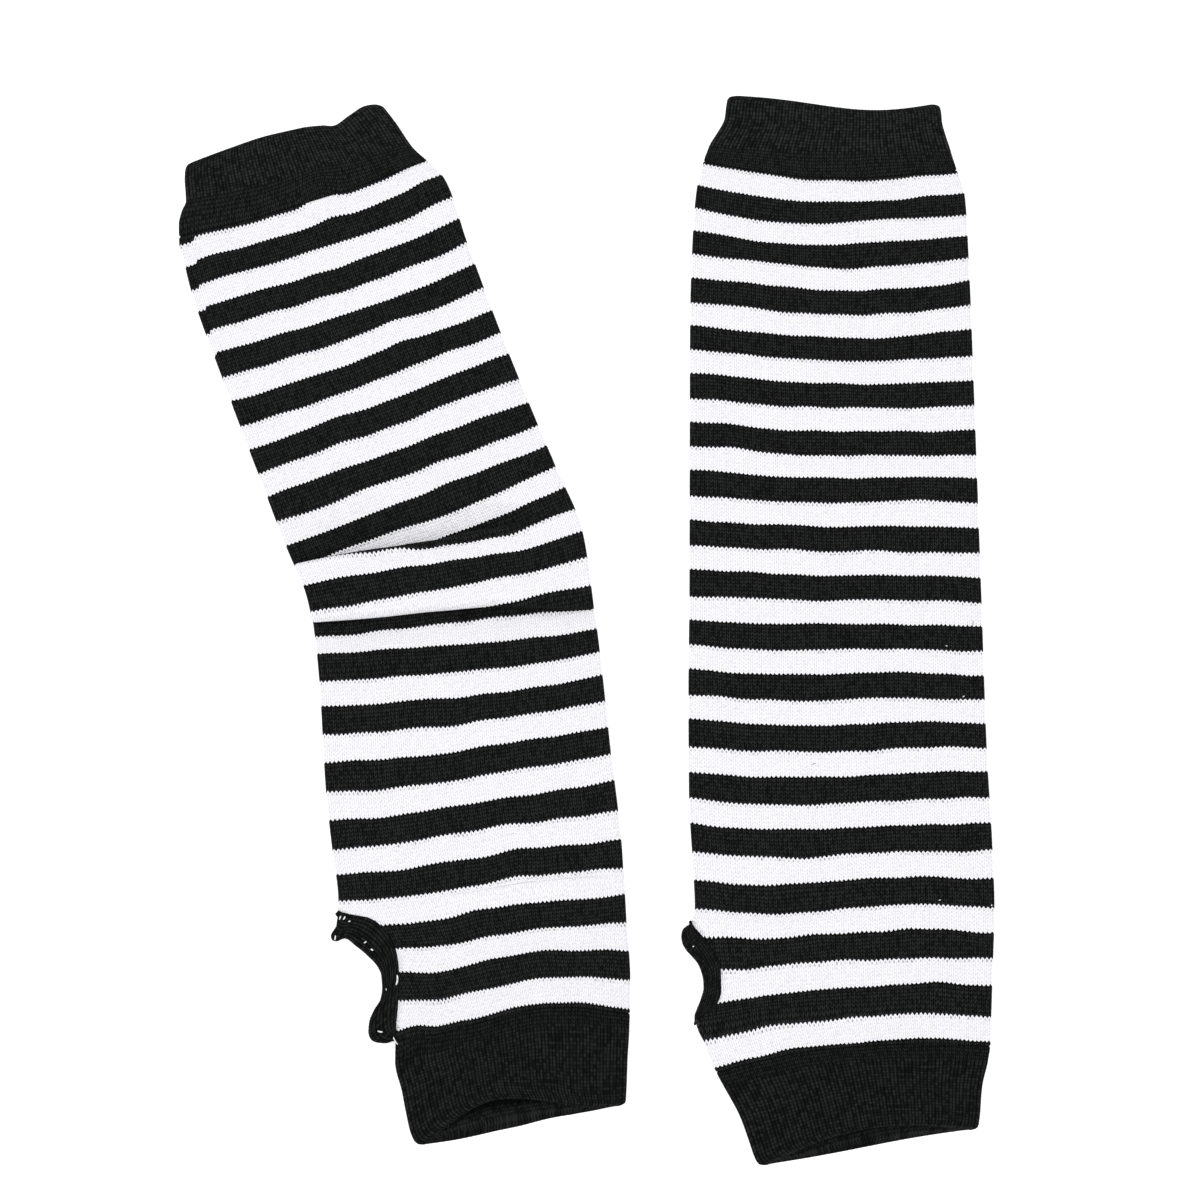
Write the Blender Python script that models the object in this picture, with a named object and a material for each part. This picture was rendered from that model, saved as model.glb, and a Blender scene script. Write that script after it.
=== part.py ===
"""A pair of knitted arm warmers, lying flat side by side on a level surface.

Each arm warmer is a striped jersey tube with a ribbed cuff at the elbow end and another at the hand end,
and a thumb opening in its left side edge with a narrow ribbed band round it. All the pieces of one arm
warmer are stretches of the same flattened tube, whose two panels lie on each other. The left one bends at
its middle, where two tucks take up the slack cloth.

Frame: +X to the right and +Y towards the elbow ends, as seen from above, and +Z up. The origin is on the
surface below the middle of the pair.
"""

import math
from typing import NamedTuple

import bmesh
import bpy
import numpy as np

MM = 0.001

STRIPE = 7.75 * MM  # length of one stripe, seven courses of knitting
TUBE_STRIPES = 35  # from seam to seam; the first and the last stripe are light
ELBOW_HEM = -3.0  # places along the tube are counted in stripes, from its upper seam
HAND_HEM = 39.0

JERSEY_WALL = 1.0 * MM
RIB_WALL = 1.3 * MM
PANEL_GAP = 0.4 * MM  # between the two panels where they lie flat
SEAM_GAP = 0.3 * MM  # between pieces at a seam
BAND_GAP = 0.4 * MM  # the same at the thumb band, measured along its slanting stitches

FOLD_RADIUS = 1.5 * MM  # of the middle of the flattened tube where it turns back on itself
SHORTEST_TURN = 3.6 * MM  # length of cloth in each turn of a tuck that fades out
TURN_PLACES = (0, 0.2, 0.4, 0.6, 0.8, 0.95)  # sections round a turn of a tuck, up to its straight run
SIDE_STEPS = 4  # facets round each side edge
ACROSS = 6  # facets across a panel
ACROSS_TUCKED = 8  # the same, where tucks run across
CUFF_STEPS = 6  # facets along a cuff
SHARP = math.radians(50)  # edges between facets that meet more steeply than this are drawn sharp

COURSE_REACH = 0.25  # stripes ahead that give the direction in which the tube runs at a place
NEARBY = 0.02 * MM  # how far apart the points are that give the cloth's slope at a place
STRAIGHTEST = 0.02  # the least angle that is tabled for a turn, in radians
TABLED_ANGLES = 160

LIGHT_YARN = (0.86, 0.85, 0.90, 1.0)
DARK_YARN = (0.012, 0.012, 0.014, 1.0)


class EdgePoint(NamedTuple):
    """A point on a side edge: stripes from the upper seam, then x and y in millimetres."""

    stripe: float
    x: float
    y: float


class CourseLine(NamedTuple):
    """How a course of stitches lies between its two side edges, in millimetres.

    bow is how far its middle lies towards the hand, and lean what its left quarter lies further than its
    right one. under is the bow of the panel underneath. gape is what the panels stand apart at the middle.
    """

    stripe: float
    bow: float
    lean: float
    under: float
    gape: float


class Tuck(NamedTuple):
    """Slack cloth that is folded in across the tube.

    Its middle is given in stripes at the two side edges, and the cloth that it hides in millimetres at five
    even places from left to right. The first tuck of a warmer lifts the cloth beyond it, and the second one
    lets it down again.
    """

    left_stripe: float
    right_stripe: float
    hidden: tuple


class BandPoint(NamedTuple):
    """A place along a thumb band: the tube's edge there, in stripes, and x and y of the band's free edge."""

    stripe: float
    free_x: float
    free_y: float


class Opening(NamedTuple):
    """The thumb opening, in stripes from the upper seam."""

    top: float
    bottom: float


class Design(NamedTuple):
    """What sets one arm warmer apart from the other."""

    name: str
    left_edge: list
    right_edge: list
    courses: list
    tucks: list
    opening: Opening
    band: list
    tube_stripes: list  # where the tube has its sections, tucks apart
    across: int


STRAIGHT = Design(
    name="right",
    left_edge=[
        EdgePoint(-3.0, 43.4, 165.7),
        EdgePoint(-2.0, 42.7, 159.2),
        EdgePoint(-1.14, 37.8, 150.5),
        EdgePoint(0, 35.9, 145.2),
        EdgePoint(1, 34.1, 138.3),
        EdgePoint(3, 32.8, 123.9),
        EdgePoint(7, 31.9, 94.8),
        EdgePoint(12, 31.8, 57.4),
        EdgePoint(18, 31.7, 11.4),
        EdgePoint(22, 31.4, -19.7),
        EdgePoint(26, 31.6, -51.9),
        EdgePoint(28, 32.5, -68.3),
        EdgePoint(30, 33.4, -86.0),
        EdgePoint(30.55, 32.5, -90.0),
        EdgePoint(31, 36.8, -95.6),
        EdgePoint(32, 41.1, -104.9),
        EdgePoint(33, 40.3, -115.4),
        EdgePoint(33.7, 34.7, -122.1),
        EdgePoint(34, 35.9, -126.8),
        EdgePoint(35, 39.4, -135.5),
        EdgePoint(37, 47.4, -150.5),
        EdgePoint(38, 50.3, -158.1),
        EdgePoint(39, 53.9, -165.7),
    ],
    right_edge=[
        EdgePoint(-3.0, 109.7, 162.9),
        EdgePoint(-2.0, 110.0, 158.3),
        EdgePoint(-1.14, 112.8, 149.0),
        EdgePoint(0, 115.0, 142.3),
        EdgePoint(1, 117.1, 135.8),
        EdgePoint(4, 118.4, 115.8),
        EdgePoint(10, 120.2, 70.1),
        EdgePoint(18, 122.4, 8.9),
        EdgePoint(24, 124.0, -36.3),
        EdgePoint(28, 125.8, -67.9),
        EdgePoint(30, 126.4, -85.5),
        EdgePoint(32, 126.0, -100.9),
        EdgePoint(34, 125.4, -119.6),
        EdgePoint(35, 125.2, -127.5),
        EdgePoint(35.7, 124.4, -132.8),
        EdgePoint(37, 122.5, -141.2),
        EdgePoint(39, 121.2, -154.5),
    ],
    courses=[
        CourseLine(-3.0, 2.2, -0.9, 2.2, 0),
        CourseLine(-1.14, 1.8, 0, 1.8, 0),
        CourseLine(0, 3.9, 0.1, 3.9, 0),
        CourseLine(2, 4.0, 0.5, 4.0, 0.4),
        CourseLine(6, 3.4, -0.4, 3.4, 0.8),
        CourseLine(12, 1.5, 0.1, 1.5, 0.8),
        CourseLine(18, 0.5, 0.5, 0.5, 0.8),
        CourseLine(24, 1.0, 0.6, 1.0, 0.8),
        CourseLine(28, 1.4, 1.0, 1.4, 0.4),
        CourseLine(30, 0.3, 1.3, 0.3, 0),
        CourseLine(32, -0.9, 0.2, -0.9, 0),
        CourseLine(34, -3.8, 0, -3.8, 0.3),
        CourseLine(35, -4.0, -0.3, -4.0, 0.8),
        CourseLine(37, -5.0, 0, -2.5, 3.6),
        CourseLine(39, -6.8, -0.2, 0, 5.8),
    ],
    tucks=[],
    opening=Opening(30.55, 33.7),
    band=[
        BandPoint(30.55, 30.0, -95.0),
        BandPoint(30.8, 31.2, -98.5),
        BandPoint(31, 32.7, -100.5),
        BandPoint(31.5, 35.0, -103.1),
        BandPoint(32, 35.9, -106.5),
        BandPoint(32.5, 36.2, -110.3),
        BandPoint(33, 35.6, -114.2),
        BandPoint(33.4, 34.0, -117.1),
    ],
    tube_stripes=[0, 1, 2, 4, 7, 10, 13, 16, 19, 22, 25, 28, 30]
    + [30.55, 30.8, 31, 31.5, 32, 32.5, 33, 33.4, 33.7, 34, 35],
    across=ACROSS,
)

BENT = Design(
    name="left",
    left_edge=[
        EdgePoint(-3.0, -124.4, 145.0),
        EdgePoint(-2.0, -124.8, 140.0),
        EdgePoint(-1.14, -124.0, 133.5),
        EdgePoint(0, -126.5, 120.8),
        EdgePoint(1, -124.9, 113.9),
        EdgePoint(2, -123.2, 106.9),
        EdgePoint(6, -113.2, 78.6),
        EdgePoint(10, -102.0, 48.8),
        EdgePoint(14, -90.4, 19.4),
        EdgePoint(17, -87.8, 14.3),
        EdgePoint(18, -85.6, 6.3),
        EdgePoint(20, -84.5, -1.5),
        EdgePoint(22, -83.1, -15.4),
        EdgePoint(26, -81.0, -50.1),
        EdgePoint(28, -79.1, -67.6),
        EdgePoint(30, -77.2, -83.6),
        EdgePoint(30.35, -77.4, -86.5),
        EdgePoint(30.7, -67.0, -88.2),
        EdgePoint(31.1, -62.7, -92.0),
        EdgePoint(32, -59.3, -98.4),
        EdgePoint(33, -58.3, -105.8),
        EdgePoint(34, -58.5, -114.5),
        EdgePoint(35, -59.4, -125.1),
        EdgePoint(35.7, -59.6, -132.8),
        EdgePoint(37, -57.5, -142.7),
        EdgePoint(38, -55.8, -150.6),
        EdgePoint(39, -53.8, -158.9),
    ],
    right_edge=[
        EdgePoint(-3.0, -63.0, 161.9),
        EdgePoint(-2.0, -58.8, 156.5),
        EdgePoint(-1.14, -54.3, 150.2),
        EdgePoint(0, -48.9, 145.5),
        EdgePoint(1, -44.5, 141.0),
        EdgePoint(4, -37.2, 120.9),
        EdgePoint(8, -26.7, 92.6),
        EdgePoint(12, -15.2, 64.1),
        EdgePoint(14, -9.7, 51.3),
        EdgePoint(17, -1.3, 30.6),
        EdgePoint(20, 2.1, 7.8),
        EdgePoint(22, 4.0, -6.5),
        EdgePoint(26, 7.4, -37.6),
        EdgePoint(29, 10.6, -64.7),
        EdgePoint(32, 12.2, -90.0),
        EdgePoint(34, 13.4, -108.0),
        EdgePoint(35, 13.3, -117.3),
        EdgePoint(37, 12.5, -132.2),
        EdgePoint(39, 11.7, -146.8),
    ],
    courses=[
        CourseLine(-3.0, 0.1, -0.6, 0.1, 0),
        CourseLine(-1.14, 0.5, 0.5, 0.5, 0),
        CourseLine(0, 1.8, -0.1, 1.8, 0),
        CourseLine(4, 1.8, -0.3, 1.8, 0.6),
        CourseLine(7, 0.9, 0.4, 0.9, 0.8),
        CourseLine(11, 0.1, 0.2, 0.1, 0.6),
        CourseLine(14, 1.2, -0.8, 1.2, 0),
        CourseLine(17, 0.8, -0.8, 0.8, 0),
        CourseLine(20, 0.4, 0.2, 0.4, 0),
        CourseLine(22, 1.5, -0.2, 1.5, 0.4),
        CourseLine(26, 1.4, 0.1, 1.4, 0.8),
        CourseLine(28, -0.2, 0.6, -0.2, 0.6),
        CourseLine(30, -0.6, 1.2, -0.6, 0),
        CourseLine(31, -2.2, -0.5, -2.2, 0),
        CourseLine(33, -1.5, 1.5, -1.5, 0),
        CourseLine(35, -4.0, 1.4, -4.0, 0.8),
        CourseLine(37, -5.5, 0, -3.0, 3.6),
        CourseLine(39, -8.3, -2.0, 0, 5.8),
    ],
    tucks=[
        Tuck(15.6, 15.0, (18.0, 13.3, 9.3, 3.3, 0.2)),
        Tuck(18.8, 19.4, (8.3, 6.8, 5.0, 2.8, 0.8)),
    ],
    opening=Opening(30.35, 34.8),
    band=[
        BandPoint(30.35, -78.4, -94.5),
        BandPoint(30.5, -75.0, -94.8),
        BandPoint(30.7, -71.0, -97.1),
        BandPoint(31.1, -67.0, -101.2),
        BandPoint(31.6, -64.6, -104.9),
        BandPoint(32, -63.7, -108.5),
        BandPoint(33, -64.1, -113.1),
        BandPoint(34, -66.0, -117.5),
        BandPoint(34.6, -67.4, -121.0),
        BandPoint(35, -68.0, -125.3),
    ],
    tube_stripes=[0, 1, 3, 5, 7, 9, 11, 13, 14]
    + [20.5, 21, 23, 25, 27, 29, 30, 30.35, 30.5, 30.7, 31.1, 31.6, 32, 33, 34, 34.8, 35],
    across=ACROSS_TUCKED,
)


class Curve:
    """A smooth line through a table's values, which never overshoots and runs on straight past its ends."""

    def __init__(self, keys, values):
        self.keys = np.array(keys, float)
        self.values = np.array(values, float)
        steps = np.diff(self.keys)
        rates = np.diff(self.values) / steps
        before, after = rates[:-1], rates[1:]
        near, far = steps[1:] + 2 * steps[:-1], 2 * steps[1:] + steps[:-1]
        level = before * after <= 0
        weighed = far / np.where(level, 1, before) + near / np.where(level, 1, after)
        inner = np.where(level, 0, (near + far) / np.where(level, 1, weighed))
        self.slopes = np.concatenate([rates[:1], inner, rates[-1:]])

    def __call__(self, at):
        place = np.clip(at, self.keys[0], self.keys[-1])
        i = np.clip(np.searchsorted(self.keys, place) - 1, 0, len(self.keys) - 2)
        step = self.keys[i + 1] - self.keys[i]
        u = (place - self.keys[i]) / step
        curve = (
            self.values[i] * (1 + 2 * u) * (1 - u) ** 2
            + self.values[i + 1] * u * u * (3 - 2 * u)
            + step * self.slopes[i] * u * (1 - u) ** 2
            - step * self.slopes[i + 1] * u * u * (1 - u)
        )
        end_slope = np.where(at < self.keys[0], self.slopes[0], self.slopes[-1])
        return curve + (at - place) * end_slope


class FoldedTuck:
    """A tuck as it lies: an S of two turns with a straight run between, worked out from what it hides."""

    FULL_TURN = 2 * math.pi * FOLD_RADIUS  # cloth hidden by two half turns with no straight run
    ANGLES = np.linspace(STRAIGHTEST, math.pi, TABLED_ANGLES)
    TURNS = np.maximum(ANGLES * FOLD_RADIUS, SHORTEST_TURN)
    HIDES = 2 * TURNS * (1 - np.sin(ANGLES) / ANGLES)

    def __init__(self, tuck):
        self.left = tuck.left_stripe * STRIPE
        self.right = tuck.right_stripe * STRIPE
        self.hidden = Curve(np.linspace(0, 1, len(tuck.hidden)), np.array(tuck.hidden) * MM)

    def sizes(self, t):
        """Steepest angle, length of each turn, length of the straight run and where the first turn starts."""
        hidden = self.hidden(np.clip(t, 0, 1))
        angle = np.interp(hidden, self.HIDES, self.ANGLES)
        turn = np.maximum(angle * FOLD_RADIUS, SHORTEST_TURN)
        run = np.maximum(hidden - self.FULL_TURN, 0) / 2
        start = self.left + (self.right - self.left) * t - turn - run / 2
        return angle, turn, run, start

    def lost_and_height(self, s, t):
        """How much cloth is hidden before the place s, and how far the cloth there has climbed."""
        angle, turn, run, start = self.sizes(t)
        radius = turn / angle
        x = np.clip(s - start, 0, 2 * turn + run)
        first = np.minimum(x, turn)
        straight = np.clip(x - turn, 0, run)
        last = turn - np.clip(x - turn - run, 0, turn)  # what is left of the second turn
        second_lies = radius * (np.sin(angle) - np.sin(angle * last / turn))
        second_climbs = radius * (np.cos(angle * last / turn) - np.cos(angle))
        lies = radius * np.sin(angle * first / turn) + straight * np.cos(angle) + second_lies
        climbs = radius * (1 - np.cos(angle * first / turn)) + straight * np.sin(angle) + second_climbs
        return x - lies, climbs

    def sections(self, t):
        """The places of the sections that follow both turns."""
        _, turn, run, start = self.sizes(t)
        first = [start + turn * u for u in TURN_PLACES]
        second = [start + turn + run + turn * (1 - u) for u in TURN_PLACES[::-1]]
        return first + second


class Warmer:
    """One arm warmer as a flattened tube: from a place along it and a place across it to a point in space."""

    def __init__(self, design):
        self.design = design
        self.tucks = [FoldedTuck(tuck) for tuck in design.tucks]
        self.left = self.edge(design.left_edge, 0.0)
        self.right = self.edge(design.right_edge, 1.0)
        stripes = [line.stripe * STRIPE for line in design.courses]
        self.bow = Curve(stripes, [line.bow * MM for line in design.courses])
        self.lean = Curve(stripes, [line.lean * MM for line in design.courses])
        self.under = Curve(stripes, [line.under * MM for line in design.courses])
        self.gape = Curve(stripes, [line.gape * MM for line in design.courses])

    def edge(self, points, t):
        """The x and y of a side edge as curves over the cloth that shows along it."""
        shown = [self.shown(point.stripe * STRIPE, t) for point in points]
        return Curve(shown, [p.x * MM for p in points]), Curve(shown, [p.y * MM for p in points])

    def shown(self, s, t):
        """The length that shows between the upper seam and the place s."""
        return s - sum(tuck.lost_and_height(s, t)[0] for tuck in self.tucks)

    def height(self, s, t):
        """How far the tucks lift the cloth; between them it eases to where the second one starts."""
        if not self.tucks:
            return 0.0
        first, second = self.tucks
        past_both = TUBE_STRIPES * STRIPE
        _, climbed = first.lost_and_height(s, t)
        _, dropped = second.lost_and_height(s, t)
        _, top = first.lost_and_height(past_both, t)
        _, drop = second.lost_and_height(past_both, t)
        _, turn, run, start = first.sizes(t)
        ease_from = start + 2 * turn + run
        ease_to = second.sizes(t)[3]
        u = np.clip((s - ease_from) / (ease_to - ease_from), 0, 1)
        return climbed - dropped + (drop - top) * u * u * (3 - 2 * u)

    def middle(self, s, t, front):
        """The point midway between the panels. front is 1 for the upper panel's bow and 0 for the other's."""
        q_left, q_right, q = self.shown(s, 0.0), self.shown(s, 1.0), self.shown(s, t)
        left = np.array([curve(q_left) for curve in self.left])
        right = np.array([curve(q_right) for curve in self.right])
        beyond = COURSE_REACH * STRIPE
        along = (
            np.array([curve(q_left + beyond) for curve in self.left])
            + np.array([curve(q_right + beyond) for curve in self.right])
            - left
            - right
        )
        along /= np.linalg.norm(along)
        flat = left + (right - left) * t + along * (q - q_left - (q_right - q_left) * t)
        bow = self.under(s) + (self.bow(s) - self.under(s)) * front
        down = bow * math.sin(math.pi * t) + self.lean(s) * math.sin(2 * math.pi * t)
        return np.array([flat[0], flat[1] - down, self.height(s, t)])

    def width(self, s):
        q_left, q_right = self.shown(s, 0.0), self.shown(s, 1.0)
        return math.hypot(*[b(q_right) - a(q_left) for a, b in zip(self.left, self.right)])

    def point(self, s, sideways, up, thick):
        """The point at a distance in from the left edge and a height in the cloth, both square to the cloth.

        thick is the height of the whole flattened tube there. Side edges are turned about half of it.
        """
        width = self.width(s)
        inset = min(thick / 2, width / 2)
        base = min(max(sideways, inset), width - inset)
        t = base / width
        open_share = (base - inset) / (width - 2 * inset)
        up += self.gape(s) * math.sin(math.pi * open_share) * float(up > thick / 2)
        front = min(max(up / thick, 0), 1)
        middle = self.middle(s, t, front)
        across = self.middle(s, t + NEARBY / width, front) - middle
        down = self.middle(s + NEARBY, t, front) - middle
        normal = np.cross(down, across)
        normal /= np.linalg.norm(normal)
        across /= np.linalg.norm(across)
        return middle + across * (sideways - base) + normal * (up - thick / 2) + np.array([0, 0, thick / 2])


def ring_places(width, wall, inset, across, cut):
    """The outer and inner outline of a section, as (sideways, up) pairs, clockwise from the lower left.

    Where the thumb opening cuts the left side edge, both panels run straight out to it.
    """
    thick = 2 * wall + PANEL_GAP
    rings = []
    for radius in (thick / 2, PANEL_GAP / 2):
        turns = [math.pi * i / SIDE_STEPS for i in range(SIDE_STEPS + 1)]
        flats = [i / across for i in range(1, across)]
        reach = width - 2 * inset
        left = [(inset - radius * math.sin(a), thick / 2 - radius * math.cos(a)) for a in turns]
        if cut:
            left[0] = (0, left[0][1])
            left[-1] = (0, left[-1][1])
        upper = [(inset + reach * u, thick / 2 + radius) for u in flats]
        right = [(width - inset + radius * math.sin(a), thick / 2 + radius * math.cos(a)) for a in turns]
        lower = [(width - inset - reach * u, thick / 2 - radius) for u in flats]
        rings.append(left + upper + right + lower)
    return rings


def shell(warmer, name, sections, wall, material, opening=None):
    """Builds one piece of the tube as a closed wall, open at both ends and at the thumb opening.

    sections holds, for each ring of points, the place along the tube as a function of the place across it.
    """
    bm = bmesh.new()
    thick = 2 * wall + PANEL_GAP
    across = warmer.design.across
    skins = ([], [])
    cuts = []
    for section in sections:
        edge_place = section(0.0)
        cut = opening is not None and opening.top < round(edge_place / STRIPE, 6) < opening.bottom
        cuts.append(cut)
        width = warmer.width(edge_place)
        for skin, ring in zip(skins, ring_places(width, wall, thick / 2, across, cut)):
            points = []
            for sideways, up in ring:
                s = section(min(max(sideways / width, 0), 1))
                spread = warmer.width(s) / width
                points.append(bm.verts.new(warmer.point(s, sideways * spread, up, thick)))
            skin.append(points)
    count = len(skins[0][0])
    for row in range(len(sections) - 1):
        for column in range(count):
            following = (column + 1) % count
            if column < SIDE_STEPS and (cuts[row] or cuts[row + 1]):
                continue
            for skin in skins:
                corners = [
                    skin[row][column],
                    skin[row][following],
                    skin[row + 1][following],
                    skin[row + 1][column],
                ]
                if column < count // 2:
                    corners = corners[1:] + corners[:1]
                bm.faces.new((corners[0], corners[1], corners[2]))
                bm.faces.new((corners[0], corners[2], corners[3]))
    outer, inner = skins
    twin = {a: b for outer_ring, inner_ring in zip(outer, inner) for a, b in zip(outer_ring, inner_ring)}
    rim = [edge for edge in bm.edges if edge.is_boundary and edge.verts[0] in twin and edge.verts[1] in twin]
    for edge in rim:
        start, end = edge.link_loops[0].vert, edge.other_vert(edge.link_loops[0].vert)
        bm.faces.new([end, start, twin[start], twin[end]])
    for vert in [vert for vert in bm.verts if not vert.link_faces]:
        bm.verts.remove(vert)
    bmesh.ops.recalc_face_normals(bm, faces=bm.faces)
    return finish(bm, name, material)


def ribbon(warmer, name, material):
    """Builds the thumb band: a flat strip that runs down the upper panel, turns under and comes back up."""
    bm = bmesh.new()
    thick = 2 * JERSEY_WALL + PANEL_GAP
    turn_radius = (thick - JERSEY_WALL) / 2
    table = []
    for place in warmer.design.band:
        shown = warmer.shown(place.stripe * STRIPE, 0.0)
        edge = np.array([warmer.left[0](shown), warmer.left[1](shown), 0])
        free = np.array([place.free_x, place.free_y, 0]) * MM
        table.append((edge + (free - edge) * BAND_GAP / np.linalg.norm(free - edge), free))
    places = [(tube, free, 0.0, np.zeros(3)) for tube, free in table]
    turn = [math.pi * i / SIDE_STEPS for i in range(1, SIDE_STEPS)]
    for end, inward in ((table[-1], table[-2]), (table[0], table[1])):
        strip = end[1] - end[0]
        outward = np.array([-strip[1], strip[0], 0]) / np.linalg.norm(strip)
        outward *= math.copysign(1, outward @ (end[0] + end[1] - inward[0] - inward[1]))
        turning = turn if end is table[-1] else [a + math.pi for a in turn]
        if end is table[0]:
            places += [(tube, free, math.pi, np.zeros(3)) for tube, free in table[::-1]]
        places += [(end[0], end[1], a, outward) for a in turning]
    rings = []
    for tube, free, angle, outward in places:
        up = math.cos(angle)
        normal = np.array([0, 0, up]) + outward * abs(math.sin(angle))
        centre = np.array([0, 0, thick / 2]) + normal * turn_radius
        ring = [
            bm.verts.new(side + centre + normal * half)
            for side, half in (
                (tube, JERSEY_WALL / 2),
                (free, JERSEY_WALL / 2),
                (free, -JERSEY_WALL / 2),
                (tube, -JERSEY_WALL / 2),
            )
        ]
        rings.append(ring)
    for ring, following in zip(rings, rings[1:] + rings[:1]):
        for i in range(4):
            j = (i + 1) % 4
            bm.faces.new([ring[i], following[i], following[j], ring[j]])
    bmesh.ops.recalc_face_normals(bm, faces=bm.faces)
    return finish(bm, name, material)


def finish(bm, name, material):
    """Turns the bmesh into a named object with one material, smooth except at its sharp edges."""
    mesh = bpy.data.meshes.new(name)
    bm.to_mesh(mesh)
    bm.free()
    mesh.materials.append(material)
    mesh.shade_smooth()
    mesh.set_sharp_from_angle(angle=SHARP)
    obj = bpy.data.objects.new(name, mesh)
    bpy.context.scene.collection.objects.link(obj)
    return obj


def yarn(name, colour, roughness):
    material = bpy.data.materials.new(name)
    material.use_nodes = True
    shader = material.node_tree.nodes["Principled BSDF"]
    shader.inputs["Base Color"].default_value = colour
    shader.inputs["Roughness"].default_value = roughness
    shader.inputs["Metallic"].default_value = 0.0
    return material


def level(s):
    """A section at the same place all the way across."""
    return lambda t: s


def cuff_sections(start, end):
    return [level(start + (end - start) * i / CUFF_STEPS) for i in range(CUFF_STEPS + 1)]


def tube_sections(warmer):
    """The tube's sections: its own stripes, and rows that follow the turns of each tuck."""
    half_gap = SEAM_GAP / 2
    stripes = warmer.design.tube_stripes
    places = [min(max(n * STRIPE, half_gap), TUBE_STRIPES * STRIPE - half_gap) for n in stripes]
    sections = [level(s) for s in places]
    if warmer.tucks:
        before = sum(s < warmer.tucks[0].right for s in places)
        folded = []
        for tuck in warmer.tucks:
            count = 2 * len(TURN_PLACES)
            folded += [lambda t, tuck=tuck, i=i: tuck.sections(t)[i] for i in range(count)]
            if tuck is warmer.tucks[0]:
                folded += [between(warmer.tucks, share) for share in (1 / 3, 2 / 3)]
        sections[before:before] = folded
    return sections


def between(tucks, share):
    """A section on the raised cloth between the two tucks."""
    first, second = tucks
    return lambda t: first.sections(t)[-1] * (1 - share) + second.sections(t)[0] * share


def main():
    for obj in list(bpy.data.objects):
        bpy.data.objects.remove(obj, do_unlink=True)
    jersey = yarn("light_jersey", LIGHT_YARN, 0.9)
    rib = yarn("dark_rib", DARK_YARN, 0.9)
    half_gap = SEAM_GAP / 2
    for design in (BENT, STRAIGHT):
        warmer = Warmer(design)
        elbow = cuff_sections(ELBOW_HEM * STRIPE, -half_gap)
        hand = cuff_sections(TUBE_STRIPES * STRIPE + half_gap, HAND_HEM * STRIPE)
        shell(warmer, f"{design.name}_tube", tube_sections(warmer), JERSEY_WALL, jersey, design.opening)
        shell(warmer, f"{design.name}_elbow_cuff", elbow, RIB_WALL, rib)
        shell(warmer, f"{design.name}_hand_cuff", hand, RIB_WALL, rib)
        ribbon(warmer, f"{design.name}_thumb_band", rib)


main()
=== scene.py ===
"""The looks of a pair of striped knitted arm warmers, lying flat side by side on a pale floor.

Each arm warmer is a flattened jersey tube in light and dark stripes of seven courses, with a ribbed cuff at
the elbow end and another at the hand end, and a thumb opening in its left side edge with a narrow knitted
band round it. All of these are stretches of one surface, which a WarmerForm works out: from a place along
the tube and a place round it to a point in space. The shells are drawn on that surface, and their stitches
are counted on a map of their own, in wales round the tube and in courses along it. Small loose ends of yarn
lie on top.

Frame: +X to the right and +Y towards the elbow ends, as seen from above, +Z up, in metres.
"""

import logging
import math
from dataclasses import dataclass
from enum import Enum
from typing import Callable, Optional, Union

import bmesh
import bpy
import numpy as np
from mathutils import Matrix, Vector


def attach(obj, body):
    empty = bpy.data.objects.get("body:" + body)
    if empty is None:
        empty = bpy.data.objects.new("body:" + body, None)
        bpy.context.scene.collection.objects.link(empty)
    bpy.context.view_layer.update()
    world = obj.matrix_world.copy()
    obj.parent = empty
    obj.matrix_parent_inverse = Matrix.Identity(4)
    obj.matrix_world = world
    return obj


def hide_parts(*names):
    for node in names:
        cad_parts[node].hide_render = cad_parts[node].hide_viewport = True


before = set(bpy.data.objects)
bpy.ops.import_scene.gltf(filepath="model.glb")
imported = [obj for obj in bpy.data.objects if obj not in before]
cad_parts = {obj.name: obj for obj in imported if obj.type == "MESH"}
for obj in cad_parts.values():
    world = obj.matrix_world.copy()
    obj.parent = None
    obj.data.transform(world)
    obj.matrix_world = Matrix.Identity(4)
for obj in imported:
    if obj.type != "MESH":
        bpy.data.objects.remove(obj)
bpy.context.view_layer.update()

LOG = logging.getLogger("arm_warmers")

MM = 0.001
STRIPE = 7.75 * MM
COURSES_IN_STRIPE = 7
COURSE = STRIPE / COURSES_IN_STRIPE
TUBE_STRIPES = 35
TUBE_COURSES = TUBE_STRIPES * COURSES_IN_STRIPE
ELBOW_HEM = -3.0
HAND_HEM = 39.0
WALES_ACROSS = 68
PANEL_GAP = 0.4 * MM
JERSEY_WALL = 1.0 * MM
RIB_WALL = 1.3 * MM
STITCH_MAP = "stitches"

BODY = "root"
RIB_TRAIT = "ribbed"
# The inside trait is 0 on the outer skin; on the inner skin it runs from HEM_INSIDE at an open hem up to 1
# further in, and the finish paints shade into the colour by it.
INSIDE_SHADE_TRAIT = "inside"
ELBOW_JERSEY_COURSES = 8
HAND_JERSEY_COURSES = 5
RIB_ROUNDNESS = 3
HEM_INSIDE = 0.5
MERGE = 0.0005 * MM
TINY = 1e-9

Array = np.ndarray
Number = Union[float, Array]
Section = Callable[[Array], Array]
Colour = tuple[float, float, float, float]
Socket = bpy.types.NodeSocket
Term = Union[float, Colour, Socket]

MIDDLE = np.array([0.5])
WHITE: Colour = (1, 1, 1, 1)


class Slot(Enum):
    """Names of the material slots."""

    JERSEY = "striped_jersey"
    RIB = "dark_rib"


@dataclass(frozen=True)
class EdgePoint:
    """A point on a side edge: stripes from the upper seam, then x and y in millimetres."""

    stripe: float
    x: float
    y: float


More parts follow.
